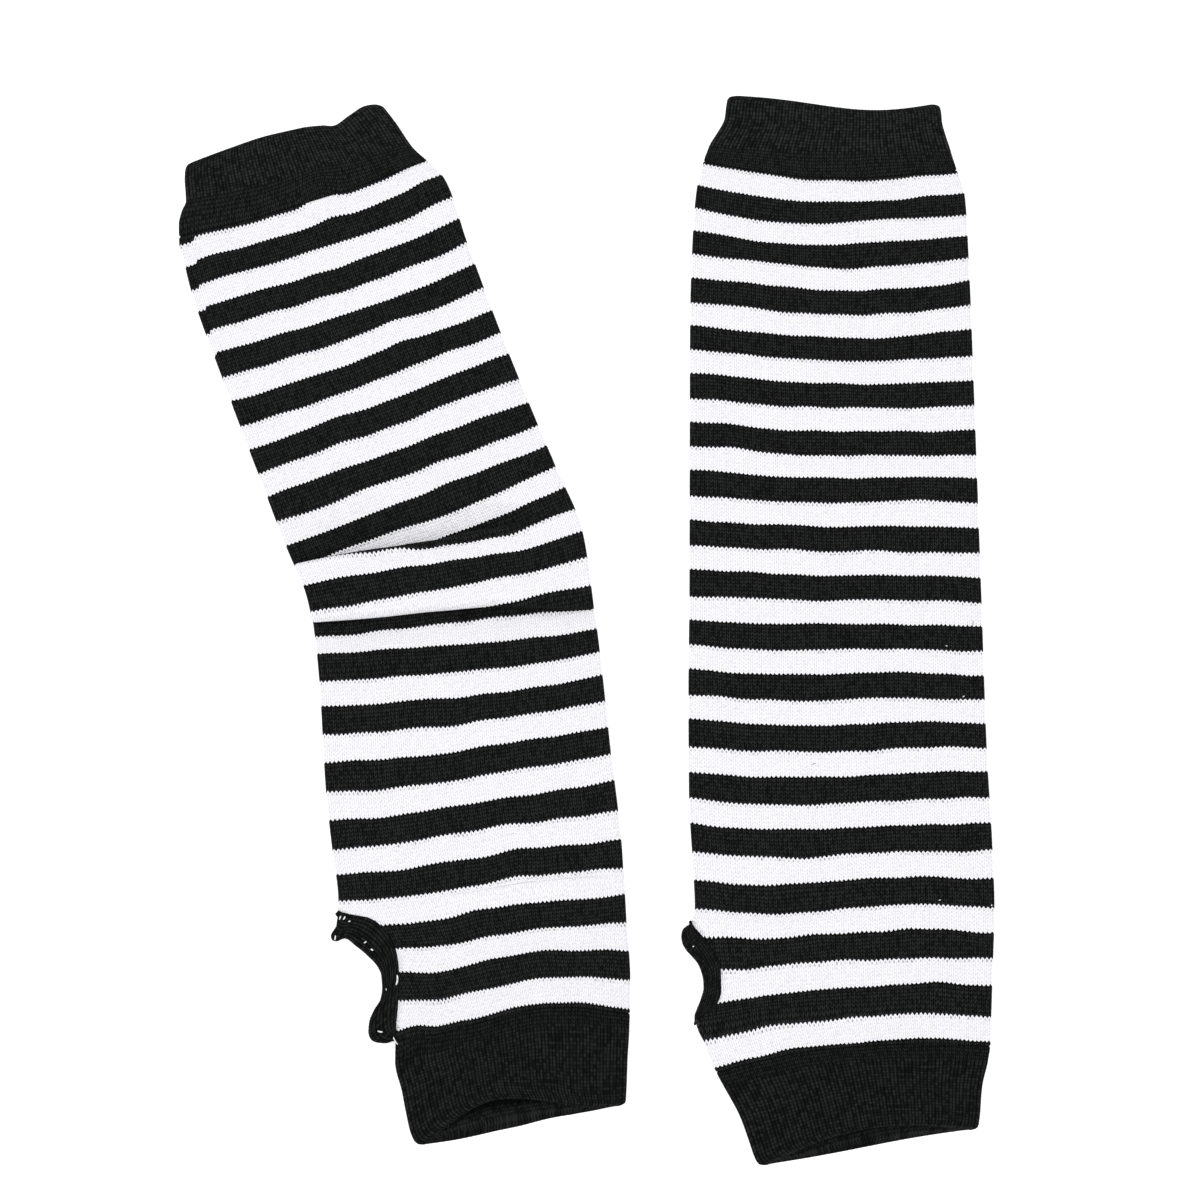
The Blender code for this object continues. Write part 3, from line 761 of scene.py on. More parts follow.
@dataclass
class WarmerForm:
    """One arm warmer as a flattened tube: from a place along it and a place round it to a point in space.

    A place round it is counted from 0 to 5: a whole number for the region, plus the share of the way
    through that region. unevenness is how far the cloth waves up and down, and sway how far its courses
    wander, each with its shortest and longest wave. The waves die out within calm of a tuck, and all relief
    within edge_share of the side edges. The upper panel sinks by no more than sink, and the lower one lifts
    by no more than under_share of the gap that is left. crease_fade is how bluntly creases end, and
    ripple_fade the share of a ripple that it sets in over. Slopes are measured over nearby.
    """

    design: Design
    unevenness: float = 0.16 * MM
    uneven_lengths: tuple[float, float] = (9 * MM, 45 * MM)
    sway: float = 0.22 * MM
    sway_lengths: tuple[float, float] = (12 * MM, 60 * MM)
    calm: float = 3.0 * MM
    edge_share: float = 0.08
    sink: float = 0.15 * MM
    under_share: float = 0.8
    crease_fade: float = 0.8
    ripple_fade: float = 0.4
    above_opening: float = 0.05
    below_opening: float = 0.4
    nearby: float = 0.02 * MM

    def __post_init__(self) -> None:
        """Works out the curves from the design's tables."""
        design = self.design
        self.tucks = [FoldedTuck(tuck) for tuck in design.tucks]
        self.left = self.edge(design.left_edge, 0.0)
        self.right = self.edge(design.right_edge, 1.0)
        stripes = [line.stripe * STRIPE for line in design.courses]
        unders = [line.under or (line.bow, line.lean) for line in design.courses]
        rows = [(line.bow, line.lean, line.gape, *own) for line, own in zip(design.courses, unders)]
        self.bow, self.lean, self.gape, self.under_bow, self.under_lean = (
            Curve(stripes, [value * MM for value in column]) for column in zip(*rows)
        )
        self.relief_waves = Waves(design.seed, *self.uneven_lengths)
        self.sway_waves = Waves(design.seed + 1, *self.sway_lengths)

    @property
    def opening_ends(self) -> tuple[float, float]:
        """Where the thumb opening starts and ends along the tube."""
        return self.design.opening.top * STRIPE, self.design.opening.bottom * STRIPE

    def edge(self, points: tuple[EdgePoint, ...], t: float) -> tuple[Curve, Curve]:
        """The x and y of a side edge, at t = 0 or 1, as curves over the cloth that shows along it."""
        shown = [float(self.shown(point.stripe * STRIPE, t)) for point in points]
        return Curve(shown, [p.x * MM for p in points]), Curve(shown, [p.y * MM for p in points])

    @staticmethod
    def on_edge(edge: tuple[Curve, Curve], shown: Array) -> Array:
        """The points of a side edge at the lengths that show along it."""
        return np.stack([curve(shown) for curve in edge], -1)

    def shown(self, s: Number, t: Number) -> Number:
        """The length that shows between the upper seam and a place along the tube, at a share across."""
        return s - sum(tuck.lost_and_height(s, t)[0] for tuck in self.tucks)

    def height(self, s: Number, t: Number) -> Number:
        """How far the tucks lift the cloth; between them it eases to where the second one starts.

        Args:
            s: Place along the tube.
            t: Share across the panel.

        Returns:
            The lift.
        """
        if not self.tucks:
            return np.zeros(np.broadcast(s, t).shape)
        first, second = self.tucks
        past_both = TUBE_STRIPES * STRIPE
        climbed = first.lost_and_height(s, t)[1] - second.lost_and_height(s, t)[1]
        top = first.lost_and_height(past_both, t)[1]
        drop = second.lost_and_height(past_both, t)[1]
        ease_from, ease_to = first.end(t), second.start(t)
        return climbed + (drop - top) * ease((s - ease_from) / (ease_to - ease_from))

    def middle(self, s: Array, t: Array, front: Array) -> Array:
        """The points midway between the panels.

        Args:
            s: Places along the tube.
            t: Shares across.
            front: 1 for the upper panel's bow and 0 for the lower one's.

        Returns:
            The points, with their coordinates last.
        """
        q_left, q_right, q = self.shown(s, 0.0), self.shown(s, 1.0), self.shown(s, t)
        left, right = self.on_edge(self.left, q_left), self.on_edge(self.right, q_right)
        beyond = STRIPE / 4
        along = self.on_edge(self.left, q_left + beyond) - left
        along += self.on_edge(self.right, q_right + beyond) - right
        along /= np.linalg.norm(along, axis=-1, keepdims=True)
        spare = q - q_left - (q_right - q_left) * t
        flat = left + (right - left) * t[..., None] + along * spare[..., None]
        bow = self.under_bow(s) + (self.bow(s) - self.under_bow(s)) * front
        lean = self.under_lean(s) + (self.lean(s) - self.under_lean(s)) * front
        down = bow * np.sin(math.pi * t) + lean * np.sin(2 * math.pi * t)
        down -= self.hem_runs_out(t) * ease(s / (ELBOW_HEM * STRIPE))
        return np.stack([flat[..., 0], flat[..., 1] - down, self.height(s, t)], -1)

    def hem_runs_out(self, t: Array) -> Array:
        """How far the elbow hem runs out past its smooth bow.

        Args:
            t: Shares across.

        Returns:
            The lengths.
        """
        hem = self.design.elbow_hem
        if not hem:
            return np.zeros(np.shape(t))
        curve = Curve([point.across for point in hem], [point.out * MM for point in hem])
        return curve(np.clip(t, 0, 1))

    def width(self, s: Number) -> Number:
        """The straight distance between the side edges at a place along the tube."""
        q_left, q_right = self.shown(s, 0.0), self.shown(s, 1.0)
        return np.hypot(*[b(q_right) - a(q_left) for a, b in zip(self.left, self.right)])

    def relief(self, s: Array, t: Array) -> Array:
        """How far the upper panel stands proud of a flat one: its creases and its own unevenness.

        Args:
            s: Places along the tube.
            t: Shares across.

        Returns:
            The heights.
        """
        x = t * self.width(s)
        total = self.unevenness * self.relief_waves(s, x)
        for tuck in self.tucks:
            clear = np.maximum(tuck.start(t) - s, s - tuck.end(t))
            total *= ease(clear / self.calm)
        for crease in self.design.creases:
            total += self.crease(crease, s, x)
        return total * ease(np.minimum(t, 1 - t) / self.edge_share)

    def under_relief(self, s: Array, t: Array, share: Array) -> Array:
        """How far the lower panel lifts off the table along its own creases.

        It lifts no further than the upper one leaves it room.

        Args:
            s: Places along the tube.
            t: Shares across.
            share: Shares across between the side turns.

        Returns:
            The heights.
        """
        x = t * self.width(s)
        total = np.zeros(np.broadcast(s, t).shape)
        for crease in self.design.under_creases:
            total += self.crease(crease, s, x)
        room = (PANEL_GAP - self.sink) * self.under_share + self.gape(s) * np.sin(math.pi * share)
        return np.minimum(total, room) * ease(np.minimum(t, 1 - t) / self.edge_share)

    def crease(self, crease: Crease, s: Array, x: Array) -> Array:
        """The height that one crease adds: a soft ridge or trough that fades out at both ends.

        Args:
            crease: The crease.
            s: Places along the tube.
            x: Places across it, as lengths.

        Returns:
            The heights.
        """
        s_a, s_b = crease.stripe_a * STRIPE, crease.stripe_b * STRIPE
        x_a = crease.across_a * float(self.width(s_a))
        x_b = crease.across_b * float(self.width(s_b))
        run = math.hypot(s_b - s_a, x_b - x_a)
        share = ((s - s_a) * (s_b - s_a) + (x - x_a) * (x_b - x_a)) / run**2
        aside = ((x - x_a) * (s_b - s_a) - (s - s_a) * (x_b - x_a)) / run
        fade = np.sin(math.pi * np.clip(share, 0, 1)) ** self.crease_fade
        return crease.rise * MM * fade * np.exp(-((aside / (crease.width * MM / 2)) ** 2))

    @staticmethod
    def outline(
        ring: Array, width: Array, inset: Array, radius: Array, cut: Array
    ) -> tuple[Array, Array]:
        """Where a place round the tube lies on its section.

        Args:
            ring: Places round the tube, from 0 to 5.
            width: Width of the section.
            inset: How far in from the side edges the turns are centred.
            radius: Distance from the section's middle line.
            cut: True where both panels run straight out to the thumb opening.

        Returns:
            The distances in from the left edge, and those above the middle line.
        """
        region = np.minimum(ring.astype(int), Region.UNDER_RIGHT.value)
        regions = [region == kind.value for kind in Region]
        share = ring - region
        reach = width - 2 * inset
        turned = math.pi * share
        sideways = np.select(
            regions,
            [
                width / 2 - reach / 2 * share,
                inset - radius * np.sin(turned),
                inset + reach * share,
                width - inset + radius * np.sin(turned),
                width - inset - reach / 2 * share,
            ],
        )
        up = np.select(
            regions, [-radius, -radius * np.cos(turned), radius, radius * np.cos(turned), -radius]
        )
        ends = [np.abs(ring - kind.value) < TINY for kind in (Region.LEFT_TURN, Region.UPPER)]
        return np.where(cut & (ends[0] | ends[1]), 0.0, sideways), up

    def points(self, s: Array, ring: Array, thick: Array, radius: Array, cut: Array) -> Array:
        """The points in space.

        Args:
            s: Places along the tube.
            ring: Places round the tube, from 0 to 5.
            thick: Height of the whole flattened tube there.
            radius: Distance from the section's middle line, half of thick on the outer skin.
            cut: True where both panels run straight out to the thumb opening.

        Returns:
            The points, with their coordinates last.
        """
        width = self.width(s)
        inset = thick / 2
        sideways, up = self.outline(ring, width, inset, radius, cut)
        base = np.clip(sideways, inset, width - inset)
        t = base / width
        upper = (ring > LEFT_EDGE) & (ring < RIGHT_EDGE)
        share = (base - inset) / (width - 2 * inset)
        relief = self.gape(s) * np.sin(math.pi * share) + self.relief(s, t)
        lifted = up + np.where(upper, np.maximum(relief, -self.sink), self.under_relief(s, t, share))
        front = np.clip(0.5 + lifted / thick, 0, 1)
        middle = self.middle(s, t, front)
        across = self.middle(s, t + self.nearby / width, front) - middle
        down = self.middle(s + self.nearby, t, front) - middle
        normal = np.cross(down, across)
        normal /= np.linalg.norm(normal, axis=-1, keepdims=True)
        across /= np.linalg.norm(across, axis=-1, keepdims=True)
        point = middle + across * (sideways - base)[..., None] + normal * lifted[..., None]
        point[..., 2] = np.maximum(point[..., 2] + thick / 2, 0)
        return point

    def stitches(self, s: Array, ring: Array, thick: Array, cut: Array) -> Array:
        """The place on the map of stitches: wales round the tube from the left edge, and courses along it.

        Args:
            s: Places along the tube.
            ring: Places round the tube, from 0 to 5.
            thick: Height of the whole flattened tube there.
            cut: True where both panels run straight out to the thumb opening.

        Returns:
            The places, with wales and courses last.
        """
        width = self.width(s)
        inset = thick / 2
        sideways, _ = self.outline(ring, width, inset, inset, cut)
        half_turn = math.pi * inset
        share = ring - np.floor(ring)
        on_flat = width - inset - sideways
        past_turn = np.where(cut, inset, np.where(share < 0.5, share, 1 - share) * half_turn)
        distance = np.select(
            [ring < 1, ring < 2, ring < 3, ring < 4],
            [
                half_turn / 2 + on_flat,
                half_turn / 2 + width - 2 * inset + past_turn,
                half_turn / 2 + on_flat,
                np.abs(0.5 - share) * half_turn,
            ],
            half_turn / 2 + on_flat,
        )
        wales = distance * WALES_ACROSS / self.half_round(s, thick)
        upper = (ring > LEFT_EDGE) & (ring <= RIGHT_EDGE)
        under = np.where(ring <= LEFT_EDGE, wales - WALES_ACROSS, WALES_ACROSS + wales)
        u = np.where(upper, WALES_ACROSS - wales, under)
        x = base_share(ring) * width
        v = s / COURSE + self.sway / COURSE * self.sway_waves(s, x + np.where(upper, 0, width))
        for ripple in self.design.ripples:
            v = v - upper * self.ripple(ripple, s, x, width)
        return np.stack([u, v - self.lag(s, u)], -1)

    def lag(self, s: Array, u: Array) -> Array:
        """How many courses a spiral's stitches lag behind: one at its step, and less round the underside.

        Args:
            s: Places along the tube.
            u: Wales round it, from the left edge.

        Returns:
            The lags.
        """
        step = self.design.jog.wale + self.design.jog.drift * s / STRIPE
        under = u > WALES_ACROSS
        round_underside = np.where(under, u - WALES_ACROSS, u + WALES_ACROSS) / WALES_ACROSS
        return np.where(under | (u < step), np.clip(round_underside, 0, 1), 0)

    def half_round(self, s: Array, thick: Array) -> Array:
        """Half the way round the uncut tube, which the full count of wales fills.

        Args:
            s: Places along the tube.
            thick: Height of the whole flattened tube there.

        Returns:
            The lengths.
        """
        opening = self.design.opening
        above = (opening.top - self.above_opening) * STRIPE
        below = (opening.bottom + self.below_opening) * STRIPE
        share = np.clip((s - above) / (below - above), 0, 1)
        inside = (s > above) & (s < below)
        bridged = self.width(above) + (self.width(below) - self.width(above)) * share
        width = np.where(inside, bridged, self.width(s))
        return width - thick + math.pi * thick / 2

    def ripple(self, ripple: Ripple, s: Array, x: Array, width: Array) -> Array:
        """How many courses one ripple moves the stitches by.

        Args:
            ripple: The ripple.
            s: Places along the tube.
            x: Places across it, as lengths.
            width: Width of the tube there.

        Returns:
            The shifts, in courses.
        """
        share = (s / STRIPE - ripple.first) / (ripple.last - ripple.first)
        fade = ease(np.minimum(share, 1 - share) / self.ripple_fade)
        aside = (x - ripple.across * width) / (ripple.width * MM / 2)
        return ripple.shift * MM / COURSE * fade * np.exp(-(aside**2))


def base_share(ring: Array) -> Array:
    """The share across the panel, from the left edge, of places round the tube."""
    return np.interp(ring, REGION_ENDS, [0.5, 0, 0, 1, 1, 0.5])


@dataclass(frozen=True)
class SkinRow:
    """A row of a shell's points: where it lies along the tube, and how deep in the wall, from 0 to 1."""

    place: Section
    depth: float
    cut: bool = False


def level(s: float) -> Section:
    """A section at the same place along the tube all the way across."""
    return lambda t: np.full(np.shape(t), s)


def between(a: Section, b: Section, share: float) -> Section:
    """A section a share of the way from one to another."""
    return lambda t: a(t) * (1 - share) + b(t) * share


def rim(place: float, wall: float, towards: int, steps: int) -> list[SkinRow]:
    """The rows that roll over a rim, from the outer skin to the inner one.

    Args:
        place: Where the rim ends.
        wall: Thickness of the wall.
        towards: 1 at the hand end and -1 at the elbow end.
        steps: Facets over the rim.

    Returns:
        The rows between the two skins.
    """
    rows = []
    for i in range(1, steps):
        angle = math.pi * i / steps
        s = place - towards * wall / 2 * (1 - math.sin(angle))
        rows.append(SkinRow(level(s), (1 - math.cos(angle)) / 2))
    return rows


def stand(name: str, data: bpy.types.ID) -> bpy.types.Object:
    """Makes an object of its data and links it to the scene."""
    obj = bpy.data.objects.new(name, data)
    bpy.context.scene.collection.objects.link(obj)
    return obj


@dataclass
class WrappedSheet:
    """A flat sheet of points that is wrapped into a closed skin, with its meeting edges joined.

    places are the points in space and stitches those on the map of stitches, by row and column. traits are
    named values for the finish, by row and column too. gone is True for each face that is left out.
    """

    name: str
    places: Array
    stitches: Array
    traits: dict[str, Array]
    gone: Array

    def build(self) -> bpy.types.Object:
        """Builds the skin.

        Returns:
            The new object, linked to the scene.
        """
        lines, columns = self.places.shape[:2]
        bm = bmesh.new()
        bmesh.ops.create_grid(bm, x_segments=columns - 1, y_segments=lines - 1, size=1.0)
        mesh = bpy.data.meshes.new(self.name)
        bm.to_mesh(mesh)
        bm.free()
        flat = np.zeros(len(mesh.vertices) * 3)
        mesh.vertices.foreach_get("co", flat)
        flat = (flat.reshape(-1, 3) + 1) / 2
        column = np.rint(flat[:, 0] * (columns - 1)).astype(int)
        line = np.rint(flat[:, 1] * (lines - 1)).astype(int)
        mesh.vertices.foreach_set("co", self.places[line, column].ravel())
        corners = np.zeros(len(mesh.loops), int)
        mesh.loops.foreach_get("vertex_index", corners)
        layer = mesh.uv_layers.new(name=STITCH_MAP)
        layer.uv.foreach_set("vector", self.stitches[line, column][corners].ravel())
        for name, values in self.traits.items():
            trait = mesh.attributes.new(name, "FLOAT", "POINT")
            trait.data.foreach_set("value", values[line, column].ravel())
        of_face = corners.reshape(-1, 4)
        out = self.gone[line[of_face].min(1), column[of_face].min(1)]
        self.close(mesh, out)
        return stand(self.name, mesh)

    @staticmethod
    def close(mesh: bpy.types.Mesh, out: Array) -> None:
        """Takes faces out, joins the sheet's meeting edges and bridges the two rims of the opening.

        Args:
            mesh: The sheet's mesh.
            out: True for each face that is taken out.
        """
        bm = bmesh.new()
        bm.from_mesh(mesh)
        if out.any():
            bm.faces.ensure_lookup_table()
            gone = [bm.faces[i] for i in np.flatnonzero(out)]
            bmesh.ops.delete(bm, geom=gone, context="FACES")
        bmesh.ops.remove_doubles(bm, verts=bm.verts, dist=MERGE)
        rims = [edge for edge in bm.edges if edge.is_boundary]
        if rims:
            layer = bm.loops.layers.uv[STITCH_MAP]
            bridged = bmesh.ops.bridge_loops(bm, edges=rims)["faces"]
            for loop in [loop for face in bridged for loop in face.loops]:
                known = next(other for other in loop.vert.link_loops if other.face not in bridged)
                loop[layer].uv = known[layer].uv
        bmesh.ops.recalc_face_normals(bm, faces=bm.faces)
        for face in bm.faces:
            face.smooth = True
        bm.to_mesh(mesh)
        bm.free()


@dataclass
class KnitShell:
    """A closed wall of cloth on a WarmerForm, with a rounded rim at each end and its own map of stitches.

    Its points form one sheet, wrapped round the tube and rolled over both rims onto the inner skin. A row
    counts as inside past inner_depth of the wall.
    """

    form: WarmerForm
    rim_steps: int = 4
    inner_depth: float = 0.6
    size_samples: int = 60

    @property
    def name(self) -> str:
        """Name of the finished piece."""
        raise NotImplementedError

    @property
    def node(self) -> str:
        """Name of the solid that the piece stands for."""
        raise NotImplementedError

    def thick(self, s: Array) -> Array:
        """Height of the whole flattened tube at a place along it."""
        return np.full(np.shape(s), 2 * JERSEY_WALL + PANEL_GAP)

    def swell(self, s: Array, wales: Array, depth: float) -> Array:
        """How far the outer skin, at depth 0, or the inner one, at 1, stands out from the smooth wall."""
        return np.zeros(s.shape)

    def extra_courses(self, s: Array) -> Array:
        """How many more courses the piece has up to a place than plain jersey would have there."""
        return np.zeros(np.shape(s))

    def shade_inward(self, s: Array) -> Array:
        """How far in a place on the inner skin is, from 0 at an open hem to 1, which sets how much painted
        shade it takes.
        """
        return np.ones(np.shape(s))

    def ribbed(self, s: Array) -> Array:
        """How far the cloth has gone over to rib, from 0 to 1."""
        return np.zeros(np.shape(s))

    def rows(self) -> list[SkinRow]:
        """The shell's rows, once over the outer skin and back along the inner one."""
        raise NotImplementedError

    def columns(self, s: Array) -> Array:
        """The places round the tube, from 0 to 5, of the points of a row at a place along it."""
        raise NotImplementedError

    def drawn(self, row: SkinRow) -> tuple[Array, Array, Array]:
        """One row of points.

        Args:
            row: The row.

        Returns:
            Its points in space, its points on the map of stitches, and its places along the tube.
        """
        ring = self.columns(row.place(MIDDLE))
        s = row.place(base_share(ring))
        thick = self.thick(s)
        cut = np.full(s.shape, row.cut)
        stitches = self.form.stitches(s, ring, thick, cut)
        stitches[..., 1] += self.extra_courses(s)
        outer = thick / 2 + self.swell(s, stitches[..., 0], 0)
        inner = PANEL_GAP / 2 - self.swell(s, stitches[..., 0], 1)
        radius = outer + (inner - outer) * row.depth
        return self.form.points(s, ring, thick, radius, cut), stitches, s

    def build(self) -> bpy.types.Object:
        """Builds the shell.

        Returns:
            The new object, linked to the scene.
        """
        rows = self.rows()
        places, stitches, along = (np.array(part) for part in zip(*[self.drawn(row) for row in rows]))
        inner = np.array([row.depth > self.inner_depth for row in rows])
        # Marks the inner skin, and how deep inside an open hem it is, for the painted shade there.
        inside = inner[:, None] * (HEM_INSIDE + (1 - HEM_INSIDE) * self.shade_inward(along))
        ring = self.columns(np.array([0.0]))
        halfway = (ring[1:] + ring[:-1]) / 2
        on_turn = (halfway > Region.LEFT_TURN.value) & (halfway < Region.UPPER.value)
        cut = np.array([row.cut for row in rows])
        gone = (cut[1:] | cut[:-1])[:, None] & on_turn[None, :]
        traits = {RIB_TRAIT: self.ribbed(along), INSIDE_SHADE_TRAIT: inside}
        return WrappedSheet(self.name, places, stitches, traits, gone).build()

    def flat_size(self) -> tuple[float, float]:
        """The cut of the piece: its size all round and its length."""
        stops = [float(row.place(MIDDLE)[0]) for row in self.rows() if row.depth == 0]
        places = np.linspace(min(stops), max(stops), self.size_samples)
        return float(2 * self.form.half_round(places, self.thick(places)).mean()), float(np.ptp(places))

    def dress(self, obj: bpy.types.Object, finish: bpy.types.Material, slot: Slot) -> None:
        """Gives the piece its finish, attaches it to the body and hides the solid that it stands for.

        Args:
            obj: The built piece.
            finish: Its material.
            slot: Not used.
        """
        obj.data.materials.append(finish)
        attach(obj, BODY)
        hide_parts(self.node)
        self.flat_size()


@dataclass
class BodyTube(KnitShell):
    """The striped jersey tube, which reaches a course into the dark cloth at both ends.

    Its sections are level down to level_until and again from level_again on, and follow the tucks between.
    turn_reach is how much of each turn of a tuck its sections cover.
    """

    upper_columns: int = 76
    under_columns: int = 22
    turn_columns: int = 10
    turn_rows: int = 14
    inner_turn_rows: int = 6
    outer_step: float = 1.15 * MM
    inner_step: float = 3.4 * MM
    level_until: float = 14 * STRIPE
    level_again: float = 20.5 * STRIPE
    turn_reach: float = 0.96

    @property
    def name(self) -> str:
        """Name of the finished piece."""
        return f"{self.form.design.name}_striped_tube"

    @property
    def node(self) -> str:
        """Name of the solid that the piece stands for."""
        return f"{self.form.design.name}_tube"

    def columns(self, s: Array) -> Array:
        """The places round the tube, from 0 to 5, of a row's points: the same in each row.

        Args:
            s: The row's place along the tube.

        Returns:
            The places round the tube.
        """
        counts = {
            Region.UNDER_LEFT: self.under_columns,
            Region.LEFT_TURN: self.turn_columns,
            Region.UPPER: self.upper_columns,
            Region.RIGHT_TURN: self.turn_columns,
            Region.UNDER_RIGHT: self.under_columns,
        }
        parts = [region.value + np.arange(n) / n for region, n in counts.items()]
        return np.concatenate([*parts, REGION_ENDS[-1:]])

    def sections(self, step: float, turn_rows: int) -> list[tuple[Section, bool]]:
        """The sections from end to end, each with whether the thumb opening cuts it.

        Args:
            step: Distance between level sections.
            turn_rows: How many sections each turn of a tuck takes.

        Returns:
            The sections, in order.
        """
        start, end = -COURSE + JERSEY_WALL / 2, (TUBE_COURSES + 1) * COURSE - JERSEY_WALL / 2
        top, bottom = self.form.opening_ends
        if not self.form.tucks:
            return self.spread([start, top, bottom, end], step)
        first, second = self.form.tucks
        before, after = self.level_until, self.level_again
        sections = self.spread([start, before], step)
        sections += self.blend(level(before), first.start, step)
        sections += self.turns(first, turn_rows)
        sections += self.blend(first.end, second.start, step)
        sections += self.turns(second, turn_rows)
        sections += self.blend(second.end, level(after), step)
        return sections + self.spread([after, top, bottom, end], step)

    def spread(self, stops: list[float], step: float) -> list[tuple[Section, bool]]:
        """Level sections at even distances, which pass through each stop.

        Args:
            stops: Places that a section must pass through.
            step: The widest distance between sections.

        Returns:
            The sections, each with whether the thumb opening cuts it.
        """
        top, bottom = self.form.opening_ends
        places = [stops[0]]
        for a, b in zip(stops, stops[1:]):
            pace = self.outer_step if a == top else step
            count = max(1, math.ceil((b - a) / pace))
            places += [a + (b - a) * (i + 1) / count for i in range(count)]
        return [(level(s), top + MERGE < s < bottom - MERGE) for s in places]

    @staticmethod
    def blend(a: Section, b: Section, step: float) -> list[tuple[Section, bool]]:
        """Sections that lead from one to another, without either.

        Args:
            a: The first section.
            b: The last one.
            step: About how far apart they are.

        Returns:
            The sections, none of them cut.
        """
        count = max(2, math.ceil(float((b(MIDDLE) - a(MIDDLE))[0]) / step))
        return [(between(a, b, i / count), False) for i in range(1, count)]

    def turns(self, tuck: FoldedTuck, rows: int) -> list[tuple[Section, bool]]:
        """Sections that follow both turns of a tuck and its straight run.

        Args:
            tuck: The tuck.
            rows: How many each turn takes.

        Returns:
            The sections, none of them cut.
        """
        shares = [self.turn_reach * i / rows for i in range(rows + 1)]
        first = [tuck.section(share, False) for share in shares]
        second = [tuck.section(1 - share, True) for share in shares[::-1]]
        run = [between(first[-1], second[0], share) for share in (0.25, 0.5, 0.75)]
        return [(section, False) for section in first + run + second]

    def rows(self) -> list[SkinRow]:
        """The shell's rows, once over the outer skin and back along the inner one."""
        outer_sections = self.sections(self.outer_step, self.turn_rows)
        inner_sections = self.sections(self.inner_step, self.inner_turn_rows)
        outer = [SkinRow(place, 0.0, cut) for place, cut in outer_sections]
        inner = [SkinRow(place, 1.0, cut) for place, cut in inner_sections]
        hand = rim((TUBE_COURSES + 1) * COURSE, JERSEY_WALL, 1, self.rim_steps)
        elbow = rim(-COURSE, JERSEY_WALL, -1, self.rim_steps)
        return outer + hand + inner[::-1] + elbow[::-1] + outer[:1]


class CuffEnd(Enum):
    """Which end of the arm warmer a cuff is on."""

    ELBOW = "elbow"
    HAND = "hand"


